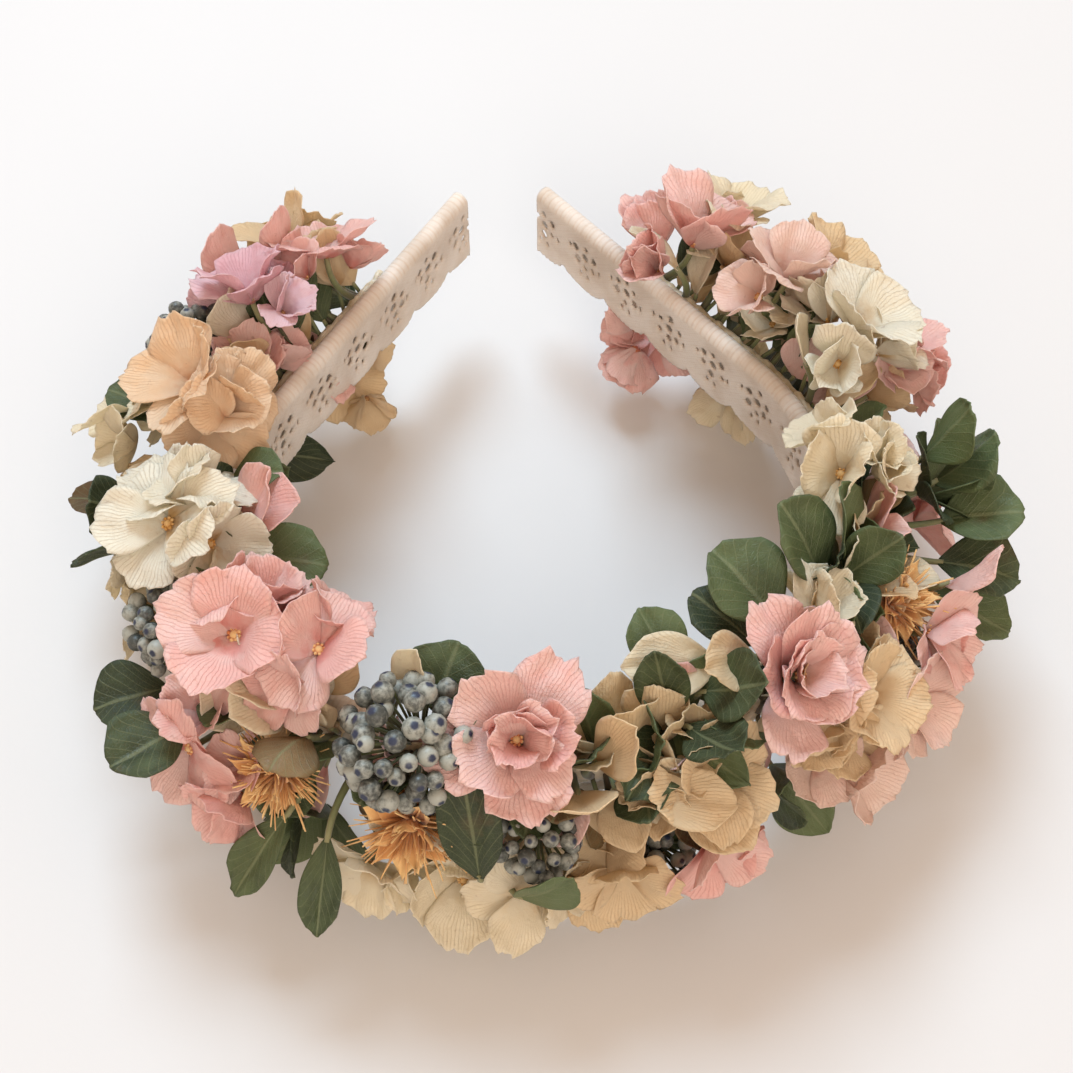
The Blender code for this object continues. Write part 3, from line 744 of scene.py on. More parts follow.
def leaf_finish(name, dark, light, share=0.14):
    """Preserved leaf: deep green between pale ribs, a fine net, brown patches."""
    finish = Finish(name)
    vector, across, along = finish.map()
    place = finish.place()
    shade = finish.shade()
    blotch = finish.noise(place, 150.0, 4.0, 0.6)
    rib = finish.limits(abs(across - 0.5), 0.012, 0.045, 1.0, 0.0)
    side = finish.math("SINE", (along - abs(across - 0.5) * 1.1) * 42.0)
    side = finish.limits(side, 0.86, 1.0)
    net = finish.cells(finish.stretched(vector, (17.0, 26.0, 1.0)), 1.0)
    net = finish.limits(net, 0.0, 0.12, 1.0, 0.0)
    colour = finish.mix(finish.limits(blotch * 0.7 + shade * 0.6, 0.3, 0.95), dark, light)
    colour = finish.mix(finish.limits(finish.noise(place, 90.0), 0.62, 0.75) * 0.5, colour,
                        paint(96, 78, 50))
    pale = finish.math("MAXIMUM", rib * 0.5, side * 0.28) + net * 0.1
    colour = finish.mix(pale, colour, paint(136, 142, 104))
    height = rib * 1.0 + side * 0.5 - net * 0.4 + finish.noise(place, 1100.0) * 0.4
    surface = finish.principled({
        "Base Color": colour, "Roughness": finish.limits(blotch, 0.2, 0.8, 0.42, 0.62),
        "Specular IOR Level": 0.4, "Normal": finish.bump(height, 0.45, 0.0004)})
    return finish.end(see_through(finish, surface, light, share))


def berry_finish(name, skin, bloom, tip):
    """Small berry: a waxy grey bloom over a darker skin, brown at the foot and dark
    at the tip."""
    finish = Finish(name)
    _, _, along = finish.map()
    place = finish.place()
    shade = finish.shade()
    mottle = finish.noise(place, 900.0, 4.0, 0.6)
    colour = finish.mix(finish.limits(mottle + shade * 0.5, 0.45, 0.95), skin, bloom)
    colour = finish.mix(finish.limits(along, 0.0, 0.25, 0.5, 0.0), colour, paint(120, 105, 80))
    colour = finish.mix(finish.limits(along + mottle * 0.14, 0.95, 1.05), colour, tip)
    surface = finish.principled({
        "Base Color": colour, "Roughness": finish.limits(mottle, 0.3, 0.7, 0.34, 0.6),
        "Specular IOR Level": 0.5, "Normal": finish.bump(mottle, 0.25, 0.0003)})
    return finish.end(surface)


def fibre_finish(name, root, middle, tip, roughness=0.75):
    """Stems and dried hairs: a colour that changes from root to tip, in streaks."""
    finish = Finish(name)
    vector, _, along = finish.map()
    place = finish.place()
    shade = finish.shade()
    streak = finish.noise(finish.stretched(vector, (9.0, 2.5, 1.0)), 3.0)
    colour = finish.mix(finish.limits(along + streak * 0.3, 0.15, 0.75), root, middle)
    colour = finish.mix(finish.limits(along + shade * 0.5, 0.75, 1.35), colour, tip)
    colour = finish.mix(finish.limits(finish.noise(place, 500.0), 0.5, 0.8) * 0.4, colour, root)
    surface = finish.principled({
        "Base Color": colour, "Roughness": roughness, "Sheen Weight": 0.2,
        "Normal": finish.bump(streak, 0.4, 0.0002)})
    return finish.end(surface)


def lace_finish(name, thread, shadow):
    """Crocheted cotton: twisted yarn in short slanted stitches, with fuzz, and painted shade in the
    grooves between the stitches and where the thread runs low towards the holes.
    """
    finish = Finish(name)
    _, across, along = finish.map()
    place = finish.place()
    fuzz = finish.noise(place, 1600.0, 4.0, 0.65)
    tone = finish.noise(place, 120.0, 3.0)
    twist = finish.math("SINE", across * 7.4 + along * 9.5 + fuzz * 4.0)
    loops = finish.math("SINE", along * 6.4 + fuzz * 3.0)
    loops = loops * finish.math("SINE", across * 4.6)
    weave = finish.limits(twist * 0.5 + loops * 0.7, -0.9, 0.6)
    relief = finish.shade()
    # Painted shade: the shadow colour goes where the stitch pattern dips and where the thread's
    # height is low.
    colour = finish.mix(finish.limits(weave * 0.6 + relief * 0.7, 0.1, 1.0), shadow, thread)
    colour = finish.mix(finish.limits(tone, 0.35, 0.7) * 0.35, colour, paint(190, 160, 125))
    colour = finish.mix(finish.limits(fuzz, 0.55, 0.8) * 0.5, colour, paint(238, 226, 205))
    surface = finish.principled({
        "Base Color": colour, "Roughness": 0.85, "Specular IOR Level": 0.2,
        "Sheen Weight": 0.35, "Sheen Roughness": 0.6,
        "Normal": finish.bump(weave * 0.5 + fuzz * 0.7, 0.45, 0.0003)})
    return finish.end(see_through(finish, surface, thread, 0.32))


def core_finish(name, light, dark):
    """Satin strip: fine threads across and a soft shine."""
    finish = Finish(name)
    place = finish.place()
    threads = finish.noise(finish.stretched(place, (1.0, 1.0, 14.0)), 260.0, 2.0)
    colour = finish.mix(finish.limits(threads, 0.3, 0.7), dark, light)
    surface = finish.principled({
        "Base Color": colour, "Roughness": finish.limits(threads, 0.3, 0.7, 0.35, 0.5),
        "Normal": finish.bump(threads, 0.2, 0.0003)})
    return finish.end(surface)


def glue_finish(name, light, dark):
    """Set hot glue: milky, lumpy, with small bubbles."""
    finish = Finish(name)
    place = finish.place()
    lumps = finish.noise(place, 220.0, 4.0)
    bubbles = finish.limits(finish.cells(place, 900.0), 0.0, 0.05, 1.0, 0.0)
    colour = finish.mix(finish.limits(lumps, 0.3, 0.7), dark, light)
    surface = finish.principled({
        "Base Color": colour, "Roughness": finish.limits(lumps, 0.2, 0.8, 0.22, 0.4),
        "Subsurface Weight": 0.3, "Subsurface Radius": (0.004, 0.003, 0.002),
        "Subsurface Scale": 0.5, "Normal": finish.bump(lumps + bubbles * 0.3, 0.5, 0.0006)})
    return finish.end(surface)


def table_finish(name, top):
    """Smooth painted table: nearly even, very slightly mottled."""
    finish = Finish(name)
    place = finish.place()
    tone = finish.noise(place, 6.0, 2.0)
    colour = finish.mix(finish.limits(tone, 0.3, 0.7) * 0.5, top, tuple(c * 0.97 for c in top))
    surface = finish.principled({"Base Color": colour, "Roughness": 0.55,
                                 "Normal": finish.bump(finish.noise(place, 400.0), 0.05, 0.0005)})
    return finish.end(surface)


def colour(name, description, default):
    """A colour that a user can change."""
    return FloatVectorProperty(name=name, description=description, subtype="COLOR",
                               size=3, min=0.0, max=1.0, default=paint(*default))


def length(name, description, default):
    """A length that a user can change, in metres."""
    return FloatProperty(name=name, description=description, default=default,
                         min=0.0, unit="LENGTH")


class CrownSizes(bpy.types.PropertyGroup):
    """Sizes of the crown's thin parts."""

    petal_thickness: length("Petal thickness", "How thick a petal is", 0.00013)
    leaf_thickness: length("Leaf thickness", "How thick a leaf is", 0.00022)
    lace_thickness: length("Lace thickness", "How thick the crochet is", 0.00055)
    stem_radius: length("Stem radius", "Half the thickness of a stem", 0.0008)
    berry_radius: length("Berry radius", "Radius of a berry in a large bunch", 0.0020)
    brush_hairs: IntProperty(name="Brush hairs", description="Hairs in a dried brush",
                             default=170, min=20, max=400)


class CrownColours(bpy.types.PropertyGroup):
    """Main colours of the crown."""

    pink: colour("Pink", "Middle of a pink petal", (250, 207, 198))
    mauve: colour("Mauve", "Middle of a mauve petal", (240, 196, 202))
    peach: colour("Peach", "Middle of a peach petal", (248, 220, 184))
    white: colour("White", "Middle of a white petal", (248, 241, 222))
    cream: colour("Cream", "Middle of a cream petal", (248, 237, 210))
    tan: colour("Tan", "Middle of a tan petal", (242, 219, 180))
    blush: colour("Blush", "Middle of a pale pink petal", (250, 222, 210))
    leaf: colour("Leaf", "Light side of a leaf", (98, 112, 72))
    berry: colour("Berry", "Bloom on a berry", (160, 162, 152))
    orange: colour("Orange", "Middle of an orange hair", (216, 158, 96))
    maroon: colour("Maroon", "Middle of a maroon hair", (118, 56, 44))
    lace: colour("Lace", "Cotton thread", (252, 245, 236))
    table: colour("Table", "Table top", (212, 211, 210))


# Tones of a petal's base, of its edge, and of a floret's heart from root to middle.
DEEP_TONES = {
    "pink": (238, 152, 140), "mauve": (226, 150, 160), "peach": (232, 176, 132),
    "white": (214, 168, 100), "cream": (226, 196, 148), "tan": (206, 164, 110),
    "blush": (232, 172, 150),
}
EDGE_TONES = {
    "pink": (250, 224, 216), "mauve": (248, 222, 226), "peach": (246, 226, 198),
    "white": (247, 244, 230), "cream": (246, 238, 216), "tan": (238, 218, 182),
    "blush": (246, 226, 212),
}
HEART_TONES = {
    "pink": ((150, 70, 52), (198, 120, 70)), "mauve": ((120, 60, 70), (180, 120, 90)),
    "peach": ((140, 76, 40), (196, 130, 66)), "white": ((150, 92, 36), (196, 140, 62)),
    "cream": ((150, 96, 44), (200, 150, 80)), "tan": ((112, 72, 36), (170, 118, 62)),
    "blush": ((168, 96, 60), (214, 150, 100)),
}


def chosen(name):
    """A main colour as the user has set it."""
    return tuple(getattr(bpy.context.scene.crown_colours, name))


def finish_called(kind):
    """The material for a kind of part, built the first time it is asked for."""
    name = f"{kind}_finish"
    made = bpy.data.materials.get(name)
    if made:
        return made
    family, tone = kind.split("_", 1)
    if family == "petal":
        return petal_finish(name, paint(*DEEP_TONES[tone]), chosen(tone), paint(*EDGE_TONES[tone]))
    if family == "heart":
        root, middle = (paint(*c) for c in HEART_TONES[tone])
        return fibre_finish(name, root, middle, paint(228, 190, 130))
    makers = {
        "leaf_green": lambda: leaf_finish(name, paint(50, 60, 38), chosen("leaf")),
        "leaf_brown": lambda: leaf_finish(name, paint(84, 62, 40), paint(148, 122, 84)),
        "stem_green": lambda: fibre_finish(name, paint(74, 62, 40), paint(104, 112, 70),
                                           paint(140, 136, 96), 0.6),
        "berry_grey": lambda: berry_finish(name, paint(64, 67, 63), chosen("berry"),
                                           paint(40, 48, 70)),
        "brush_orange": lambda: fibre_finish(name, paint(168, 104, 58), chosen("orange"),
                                             paint(236, 196, 134)),
        "brush_maroon": lambda: fibre_finish(name, paint(72, 30, 26), chosen("maroon"),
                                             paint(168, 100, 74)),
        # The lace's second colour is painted shade, for its grooves and low thread.
        "lace_cotton": lambda: lace_finish(name, chosen("lace"), paint(236, 218, 200)),
        "band_core": lambda: core_finish(name, paint(214, 208, 200), paint(176, 168, 160)),
        "glue_set": lambda: glue_finish(name, paint(226, 214, 190), paint(188, 168, 134)),
        "table_top": lambda: table_finish(name, chosen("table")),
    }
    return makers[kind]()


def size_of(name):
    """A size as the user has set it."""
    return getattr(bpy.context.scene.crown_sizes, name)


def petal_slot(tone):
    """The name of the slot for petals of a tone."""
    return "petal_cream" if tone == "blush" else f"petal_{tone}"


def petal_or_leaf(kind):
    """Finish and slot of a single petal or leaf."""
    others = {"leaf": ("leaf_green", "leaf_green"), "bract": ("leaf_brown", "leaf_green")}
    return others.get(kind, (f"petal_{kind}", petal_slot(kind)))


def seeded(name):
    """A random source that is the same for a name each time."""
    return np.random.default_rng(sum(ord(c) * (i + 7) for i, c in enumerate(name)))


def head_at(node, station, row, shift, facing):
    """Random source, centre and facing of a head, from its station, the row it is
    in, its own shifts and the parts of its facing."""
    along = station * PITCH + shift[0]
    centre = on_band(along, row[0] + shift[1], row[1] + shift[2])
    return seeded(node), centre, way(along, facing)


def grouped(rows):
    """Rows of kind, distance along and the rest, gathered by kind and body."""
    groups = {}
    for kind, *rest in rows:
        groups.setdefault((kind, body_at(rest[0])), []).append(rest)
    return groups.items()


def add_stem(sheets, along, centre, facing, finish):
    """A stem that leaves the glue, curves and meets the head from behind: a
    parabola through its foot, a knee and the head."""
    foot = on_band(along, STEM_FOOT_OUT, 0.0)
    knee = centre - facing * 0.45 * np.linalg.norm(centre - foot)
    t = np.linspace(0, 1, 9)[:, None]
    path = foot * (1 - t) ** 2 + 2 * knee * t * (1 - t) + centre * t * t
    radii = size_of("stem_radius") * np.linspace(1.15, 0.75, 9)
    sheets.add(tubes(path[None], radii[None], 8), finish, 0.5, around=True)


def add_heart(sheets, centre, facing, rng, size, finish):
    """The middle of a floret: a low button with a ring of small knobs."""
    number = 8
    angle = np.arange(number) * 2 * pi / number + rng.uniform(0, 1)
    ring = np.stack((np.cos(angle), np.sin(angle), np.full(number, 0.9)), -1)
    knobs = np.concatenate((ring * (0.95, 0.95, 1.0), [[0, 0, 0.5]])) * size
    axes = knobs / np.linalg.norm(knobs, axis=-1, keepdims=True)
    radii = np.append(rng.uniform(0.3, 0.46, number), 0.95) * size
    grids = stand(balls(knobs, axes, radii, 7, 8), centre, facing)
    sheets.add(grids, finish, rng.uniform(0, 1, number + 1), around=True)


def add_floret(sheets, centre, facing, size, opening, rng):
    """One hydrangea floret: four or five broad petals, every other one lower, in
    the first finish, and a heart in the second."""
    number = 4 if rng.uniform() < 0.7 else 5
    turns = np.arange(number) * 2 * pi / number + rng.normal(0, 0.12, number)
    lower = np.arange(number) % 2
    grids = petal_shapes(
        rng, turns, np.full(number, size), size * (1.12 - 0.16 * (number - 4)),
        opening + 12 * (1 - lower) + rng.normal(0, 11, number), rng.normal(20, 24, number),
        rng.normal(0.16, 0.14, number), base=0.5)
    grids[..., 2] += (0.5 * (1 - lower))[:, None, None]
    grids = stand(grids, centre, facing, rng.uniform(0, 2 * pi))
    sheets.add_thin(grids, size_of("petal_thickness"), 0, rng.uniform(0, 1, number))
    add_heart(sheets, centre, facing, rng, size * 0.08, 1)


def leaning(facing, rng, amount):
    """A facing turned part of the way towards a random side, and that side."""
    aside = np.cross(facing, rng.normal(0, 1, 3))
    aside = aside / np.linalg.norm(aside)
    return facing * cos(amount) + aside * sin(amount), aside


def write_piece(sheets, name, finishes, along, slot, node=None):
    """Makes an object of the gathered grids, ties it to its body of the band and hides the part it
    stands for, if there is one. The slot is not used."""
    piece = sheets.make(name, [finish_called(finish) for finish in finishes])
    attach(piece, body_at(along))
    if node:
        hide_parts(node)


def build_florets():
    """Hydrangea heads: a large floret and three smaller ones round and behind it."""
    for node, tone, station, row, shift, size, opening, facing in FLORETS:
        rng, centre, facing = head_at(node, station, row, shift, facing)
        sheets = Sheets()
        add_floret(sheets, centre, facing, size, opening, rng)
        for lean in (0.7, 0.9, 1.05):
            tilted, aside = leaning(facing, rng, lean)
            place = centre + (aside * 0.5 - facing * 0.28) * size * MM
            add_floret(sheets, place, tilted, size * rng.uniform(0.68, 0.84), opening + 12, rng)
        add_stem(sheets, station * PITCH, centre, facing, 2)
        finishes = (f"petal_{tone}", f"heart_{tone}", "stem_green")
        write_piece(sheets, f"head_{node}", finishes, station * PITCH, petal_slot(tone), node)


def build_roses():
    """Small roses: cupped petals in a spiral, closed in the middle and wider and
    flatter towards the outside."""
    number = 12
    step = np.arange(number)
    for node, tone, station, row, shift, size, facing in ROSES:
        rng, centre, facing = head_at(node, station, row, shift, facing)
        part = step / (number - 1)
        grids = petal_shapes(
            rng, step * SPIRAL_TURN + rng.normal(0, 0.2, number), size * (0.72 + 0.3 * part),
            size * (0.72 + 0.42 * part), 88 - 60 * part ** 0.9 + rng.normal(0, 10, number),
            30 - 4 * part + rng.normal(0, 18, number), 0.45 - 0.25 * part,
            base=0.6 + 2.2 * part, neck=0.35, ruffle=0.08, crumple=0.05)
        grids[..., 2] -= (3.0 * part)[:, None, None]
        sheets = Sheets()
        sheets.add_thin(stand(grids, centre, facing), size_of("petal_thickness"), 0,
                        rng.uniform(0, 1, number))
        add_heart(sheets, centre, facing, rng, 1.0, 1)
        add_stem(sheets, station * PITCH, centre, facing, 2)
        finishes = (f"petal_{tone}", f"heart_{tone}", "stem_green")
        write_piece(sheets, f"head_{node}", finishes, station * PITCH, f"petal_{tone}", node)


def add_leaf(sheets, base, facing, normal, size, width, curl, rng, pointed=False):
    """One leaf that grows from a base along a facing, its upper side to normal, in
    the first finish."""
    grids = petal_shapes(
        rng, [0.0], size, width, 0, curl, 0.12, base=0.0, neck=0.1,
        wide=0.42 if pointed else 0.55, blunt=0.93 if pointed else 0.45,
        tip=0.12 if pointed else 0.24, ruffle=0.018, crumple=0.03, pleat=0.02, crease=0.2)
    normal = normal - facing * np.dot(normal, facing)
    normal = normal / np.linalg.norm(normal)
    basis = np.stack((facing, np.cross(normal, facing), normal))
    sheets.add_thin(base + grids @ basis * MM, size_of("leaf_thickness"), 0, rng.uniform(0, 1))


def build_sprigs():
    """Sprigs: a stem with leaves that fan out of its top."""
    for node, number, station, row, shift, size, facing in SPRIGS:
        rng, centre, facing = head_at(node, station, row, shift, facing)
        sheets = Sheets()
        for leaf in range(number):
            lean = 0.25 if leaf == 0 else rng.uniform(0.6, 1.0)
            turn = leaf * SPIRAL_TURN + rng.uniform(0, 0.6)
            aside = stand(np.array([[cos(turn), sin(turn), 0.0]]), 0.0, facing)[0] / MM
            growth = facing * cos(lean) + aside * sin(lean)
            normal = facing * sin(lean) - aside * cos(lean)
            base = centre + (aside * 0.08 - facing * 0.45) * size * MM
            add_leaf(sheets, base, growth, -normal if leaf == 0 else normal,
                     size * rng.uniform(0.85, 1.1), size * rng.uniform(0.62, 0.8),
                     rng.uniform(5, 35), rng, pointed=leaf % 2 == 1)
        add_stem(sheets, station * PITCH, centre - facing * 0.45 * size * MM, facing, 1)
        write_piece(sheets, f"sprig_{node}", ("leaf_green", "stem_green"), station * PITCH,
                    "leaf_green", node)


def build_berries():
    """Bunches of berries: balls on the ends of thin stalks that spread from one
    point, with those that would face the band left out."""
    radius = size_of("berry_radius") / MM
    for node, number, station, row, shift, size, facing in BERRIES:
        rng, centre, facing = head_at(node, station, row, shift, facing)
        axes = spread(int(number * 1.45), rng, 0.07)
        axes = axes[axes[:, 2] > -0.35]
        reach = size * rng.uniform(0.66, 0.86, len(axes))
        centres = axes * reach[:, None]
        radii = radius * rng.uniform(0.8, 1.1, len(axes)) * (size / 14) ** 0.5
        grids = balls(centres, axes, radii, 8, 10, star=0.07)
        sheets = Sheets()
        sheets.add(stand(grids, centre, facing), 0, rng.uniform(0, 1, len(axes)), around=True)
        t = np.linspace(0, 1, 5)[None, :, None]
        root = np.array((0.0, 0.0, -0.5 * size))
        paths = root * (1 - t) ** 2 + centres[:, None] * t * (2 - t)
        stalks = tubes(paths, np.full(paths.shape[:2], 0.3), 5)
        sheets.add(stand(stalks, centre, facing), 1, 0.5, around=True)
        add_stem(sheets, station * PITCH, centre - facing * 0.5 * size * MM, facing, 1)
        write_piece(sheets, f"bunch_{node}", ("berry_grey", "stem_green"), station * PITCH,
                    "berry_grey", node)


def build_brushes():
    """Dried brushes: tapering hairs that bend outwards from a small cup, with a
    few papery scales round it."""
    for node, tone, station, row, shift, size, facing in BRUSHES:
        rng, centre, facing = head_at(node, station, row, shift, facing)
        axes = spread(int(size_of("brush_hairs") * 1.5), rng, 0.05)
        axes = axes[axes[:, 2] > -0.2]
        t = np.linspace(0, 1, 5)[None, :, None]
        reach = (size * rng.uniform(0.55, 0.82, len(axes)))[:, None, None]
        bend = rng.normal(0, 0.16, (len(axes), 1, 3)) * reach
        paths = np.array((0.0, 0.0, -0.3 * size)) + axes[:, None] * reach * t * 1.15 + bend * t * t
        radii = np.linspace(0.42, 0.16, 5)[None] * rng.uniform(0.7, 1.2, (len(axes), 1))
        sheets = Sheets()
        sheets.add(stand(tubes(paths, radii, 4), centre, facing), 0, rng.uniform(0, 1, len(axes)),
                   around=True)
        number = 16
        scales = petal_shapes(
            rng, np.arange(number) * SPIRAL_TURN, size * rng.uniform(0.55, 0.8, number), size * 0.34,
            rng.uniform(15, 75, number), rng.uniform(-20, 30, number), 0.5, base=1.2,
            wide=0.5, blunt=0.8, crumple=0.06, rows=9, columns=7)
        scales[..., 2] -= 0.28 * size
        sheets.add_thin(stand(scales, centre, facing), size_of("petal_thickness"), 0,
                        rng.uniform(0, 1, number))
        add_stem(sheets, station * PITCH, centre - facing * 0.3 * size * MM, facing, 1)
        write_piece(sheets, f"brush_{node}", (f"brush_{tone}", "stem_green"), station * PITCH,
                    f"brush_{tone}", node)


def build_tucked():
    """Single petals and leaves set between the heads, one object for each finish
    and body, each with a short stem down to the glue."""
    for (kind, body), members in grouped(TUCKED):
        name = f"tucked_{kind}_{body}"
        rng = seeded(name)
        sheets = Sheets()
        for along, out, up, facing, size, width, curl in members:
            base = on_band(along, out, up)
            growth = way(along, facing)
            normal = way(along, (0.35, 1.0, 0.0))
            if abs(np.dot(growth, normal)) > 0.8:
                normal = way(along, (1.0, 0.2, 0.0))
            add_leaf(sheets, base, growth, normal, size, width, curl, rng)
            add_stem(sheets, along, base + growth * MM, growth, 1)
        finish, slot = petal_or_leaf(kind)
        write_piece(sheets, name, (finish, "stem_green"), members[0][0], slot)


def build_low_florets():
    """Small florets between the heads, two together, one object for each tone and
    body."""
    for (tone, body), members in grouped(LOW_FLORETS):
        name = f"low_florets_{tone}_{body}"
        rng = seeded(name)
        sheets = Sheets()
        for along, out, up, size, opening, facing in members:
            centre = on_band(along, out, up)
            facing = way(along, facing)
            add_floret(sheets, centre, facing, size, opening, rng)
            tilted, aside = leaning(facing, rng, 0.8)
            place = centre + (aside * 0.5 - facing * 0.3) * size * MM
            add_floret(sheets, place, tilted, size * 0.8, opening + 10, rng)
            add_stem(sheets, along, centre, facing, 2)
        finishes = (f"petal_{tone}", f"heart_{tone}", "stem_green")
        write_piece(sheets, name, finishes, members[0][0], petal_slot(tone))


def build_filling():
    """Small leaves and petals set close to the glue all along the band, standing
    out of it like a brush, so that no glue shows between the heads."""
    kinds = [kind for kind, times in FILLING for _ in range(times)]
    rows = []
    rng = np.random.default_rng(FILLING_SEED)
    for start, low, high in FILLING_ROWS:
        for along in np.arange(start, -start, FILLING_STEP):
            if min(abs(abs(along) - joint) for joint in (SHOULDER_JOINT, ARM_JOINT)) >= JOINT_ROOM:
                kind = kinds[rng.integers(len(kinds))]
                rows.append((kind, along, rng.uniform(low, high)))
    for (kind, body), members in grouped(rows):
        name = f"filling_{kind}_{body}"
        rng = seeded(name)
        sheets = Sheets()
        for along, turn in members:
            growth = way(along, (cos(turn), sin(turn), rng.uniform(-0.35, 0.35)))
            out = 6.6 - 2.6 * max(0.0, turn - 1.2)
            up = 3.2 * sin(turn) + 3.0 * max(0.0, turn - 1.0)
            foot = on_band(along, out, up)
            base = foot + growth * rng.uniform(1.0, 5.0) * MM
            normal = way(along, (-sin(turn), cos(turn), rng.uniform(-0.8, 0.8)))
            size = rng.uniform(11, 16)
            add_leaf(sheets, base, growth, normal, size, size * rng.uniform(0.7, 0.95),
                     rng.uniform(-30, 40), rng)
            path = foot + (base - foot) * np.linspace(-0.3, 1.1, 4)[:, None]
            sheets.add(tubes(path[None], np.full((1, 4), STALK_RADIUS), 6), 1, 0.5, around=True)
        finish, slot = petal_or_leaf(kind)
        write_piece(sheets, name, (finish, "stem_green"), members[0][0], slot)


def hole(x, y, wide, high, power):
    """How far a point is outside a hole whose outline is a power curve, in mm."""
    size = (np.abs(x / wide) ** power + np.abs(y / high) ** power) ** (1 / power)
    return (size - 1) * np.minimum(wide, high)


def lace_edge(along):
    """Height of the lace's lower edge: scallops, each a half sine raised to a power
    that makes it blunt."""
    return EDGE_UP - SCALLOP * np.abs(np.sin(pi * along / MOTIF)) ** 0.55


def thread(along, up):
    """How far a point of the lace is inside its thread, in mm: the nearest of the
    round hole of a motif, the uneven ring round it, the slits under it, and the
    scalloped edge with its small loops."""
    count = np.floor(along / MOTIF)
    x = np.mod(along, MOTIF) - MOTIF / 2
    y = up - MOTIF_UP
    level = hole(x, y, *MIDDLE_HOLE)
    wide, high, power = RING_HOLE
    for turn in range(6):
        angle = turn * pi / 3 + pi / 6 + 0.16 * np.sin(3.1 * count + turn)
        reach = RING_REACH + 0.3 * np.sin(2.3 * count + 1.9 * turn)
        size = 1 + 0.22 * np.sin(1.7 * count + 2.7 * turn)
        ring_x = x - reach * np.cos(angle)
        ring_y = y - reach * np.sin(angle)
        level = np.minimum(level, hole(ring_x, ring_y, wide * size, high * size, power))
    for side in (-1, 1):
        low = hole(x - side * LOW_SLIT_AT[0], y - LOW_SLIT_AT[1], *LOW_SLIT)
        beside = hole(x - side * SIDE_SLIT_AT[0], y - side * SIDE_SLIT_AT[1], *SIDE_SLIT)
        level = np.minimum(level, np.minimum(low, beside))
    loops = 0.35 * np.abs(np.cos(pi * along * LOOPS / MOTIF)) - 0.3
    return np.minimum(level, up - lace_edge(along) + loops)


def lace_grid(start, end):
    """Distances along, heights and turns over the fold of the folded lace, from the
    lower edge of the outer flap over the fold to the lower edge of the inner one."""
    columns = int(round((end - start) / LACE_STEP)) + 1
    lowest = EDGE_UP - SCALLOP - SPARE
    rows = int(round((FLAP_UP - lowest) / LACE_STEP)) + 1
    up = np.linspace(lowest, FLAP_UP, rows)
    fold = np.linspace(0, pi, FOLD_POINTS)
    over = np.concatenate((np.zeros(rows - 1), fold, np.full(rows - 1, pi)))
    height = np.concatenate((up[:-1], np.full(FOLD_POINTS, FLAP_UP), up[-2::-1]))
    along, height = np.meshgrid(np.linspace(start, end, columns), height, indexing="ij")
    return along, height, np.broadcast_to(over, along.shape)


def lace_surface(along, height, over, relief):
    """Places the lace: out of the band by the turn over the fold, thread raised, and
    a ripple along it that grows down the flaps."""
    radius = FOLD_RADIUS + relief
    out = FOLD_OUT + radius * np.cos(over)
    ripple = 0.18 * np.sin(2 * pi * along / MOTIF + 1.0) * np.clip((FLAP_UP - height) / 8, 0, 1)
    up = np.where((over > 0) & (over < pi), FLAP_UP + radius * np.sin(over), height)
    return on_band(along, out + ripple * np.cos(over), up)


def snapped(along, height, fixed):
    """Moves the points next to a hole's outline onto it, down the slope of the
    thread's level, so that holes come out smooth."""
    small = 0.05
    reach = 0.55 * LACE_STEP
    level = thread(along, height)
    slope_along = (thread(along + small, height) - thread(along - small, height)) / (2 * small)
    slope_up = (thread(along, height + small) - thread(along, height - small)) / (2 * small)
    steep = np.maximum(slope_along ** 2 + slope_up ** 2, 0.2)
    near = (np.abs(level) < LACE_STEP * 0.62) & ~fixed
    move = np.where(near, level / steep, 0.0)
    move = np.clip(move, -reach, reach)
    return along - move * slope_along, height - move * slope_up


def build_lace():
    """The crochet, in four stretches that meet between the joints."""
    for stretch, start, end in stretches(HALF_LENGTH):
        along, height, over = lace_grid(start, end)
        fixed = (over > 0) & (over < pi)
        fixed[0] = fixed[-1] = True
        middle_along = (along[:-1, :-1] + along[1:, 1:]) / 2
        middle_height = (height[:-1, :-1] + height[1:, 1:]) / 2
        folded = (over[1:, 1:] > 0) & (over[:-1, :-1] < pi)
        folded &= fixed[:-1, :-1] & fixed[1:, 1:]
        kept = (thread(middle_along, middle_height) > 0) | folded
        along, height = snapped(along, height, fixed)
        level = np.clip(thread(along, height), 0, THREAD_EDGE)
        stitch = 0.10 * np.sin(2 * pi * height / 1.15) * np.sin(2 * pi * along / 1.3)
        relief = np.where(fixed, 0.2, 0.30 * np.sqrt(level / THREAD_EDGE)) + stitch
        points = lace_surface(along, height, over, relief)
        sheets = Sheets()
        # The shade number of each lace point is its thread height; the lace finish paints shade
        # where it is low.
        numbers = sheets.add_points(points, along, height, np.clip(0.15 + relief / 0.4, 0, 1))
        corners = (numbers[:-1, :-1], numbers[1:, :-1], numbers[1:, 1:], numbers[:-1, 1:])
        sheets.add_quads(*(c[kept] for c in corners), 0)
        piece = sheets.make(stretch_name("lace", stretch), [finish_called("lace_cotton")])
        wall = piece.modifiers.new("wall", "SOLIDIFY")
        wall.thickness = size_of("lace_thickness")
        wall.offset = 0.0
        tie_stretch(piece, "lace", stretch)
        width = 2 * (FLAP_UP - EDGE_UP + SCALLOP) + pi * FOLD_RADIUS
        flat = (width * MM, (end - start) * MM)
        flat[0] * flat[1] * CLOTH_SHARE


def stretches(end_at):
    """Each stretch of a strip, with the distances along where it starts and ends."""
    ends = (-end_at, *SEAMS, end_at)
    return zip(STRETCHES, ends[:-1], ends[1:])


def stretch_name(kind, stretch):
    """What a stretch of a strip is called."""
    return f"{kind}_over_{stretch[0]}_{stretch[1]}"


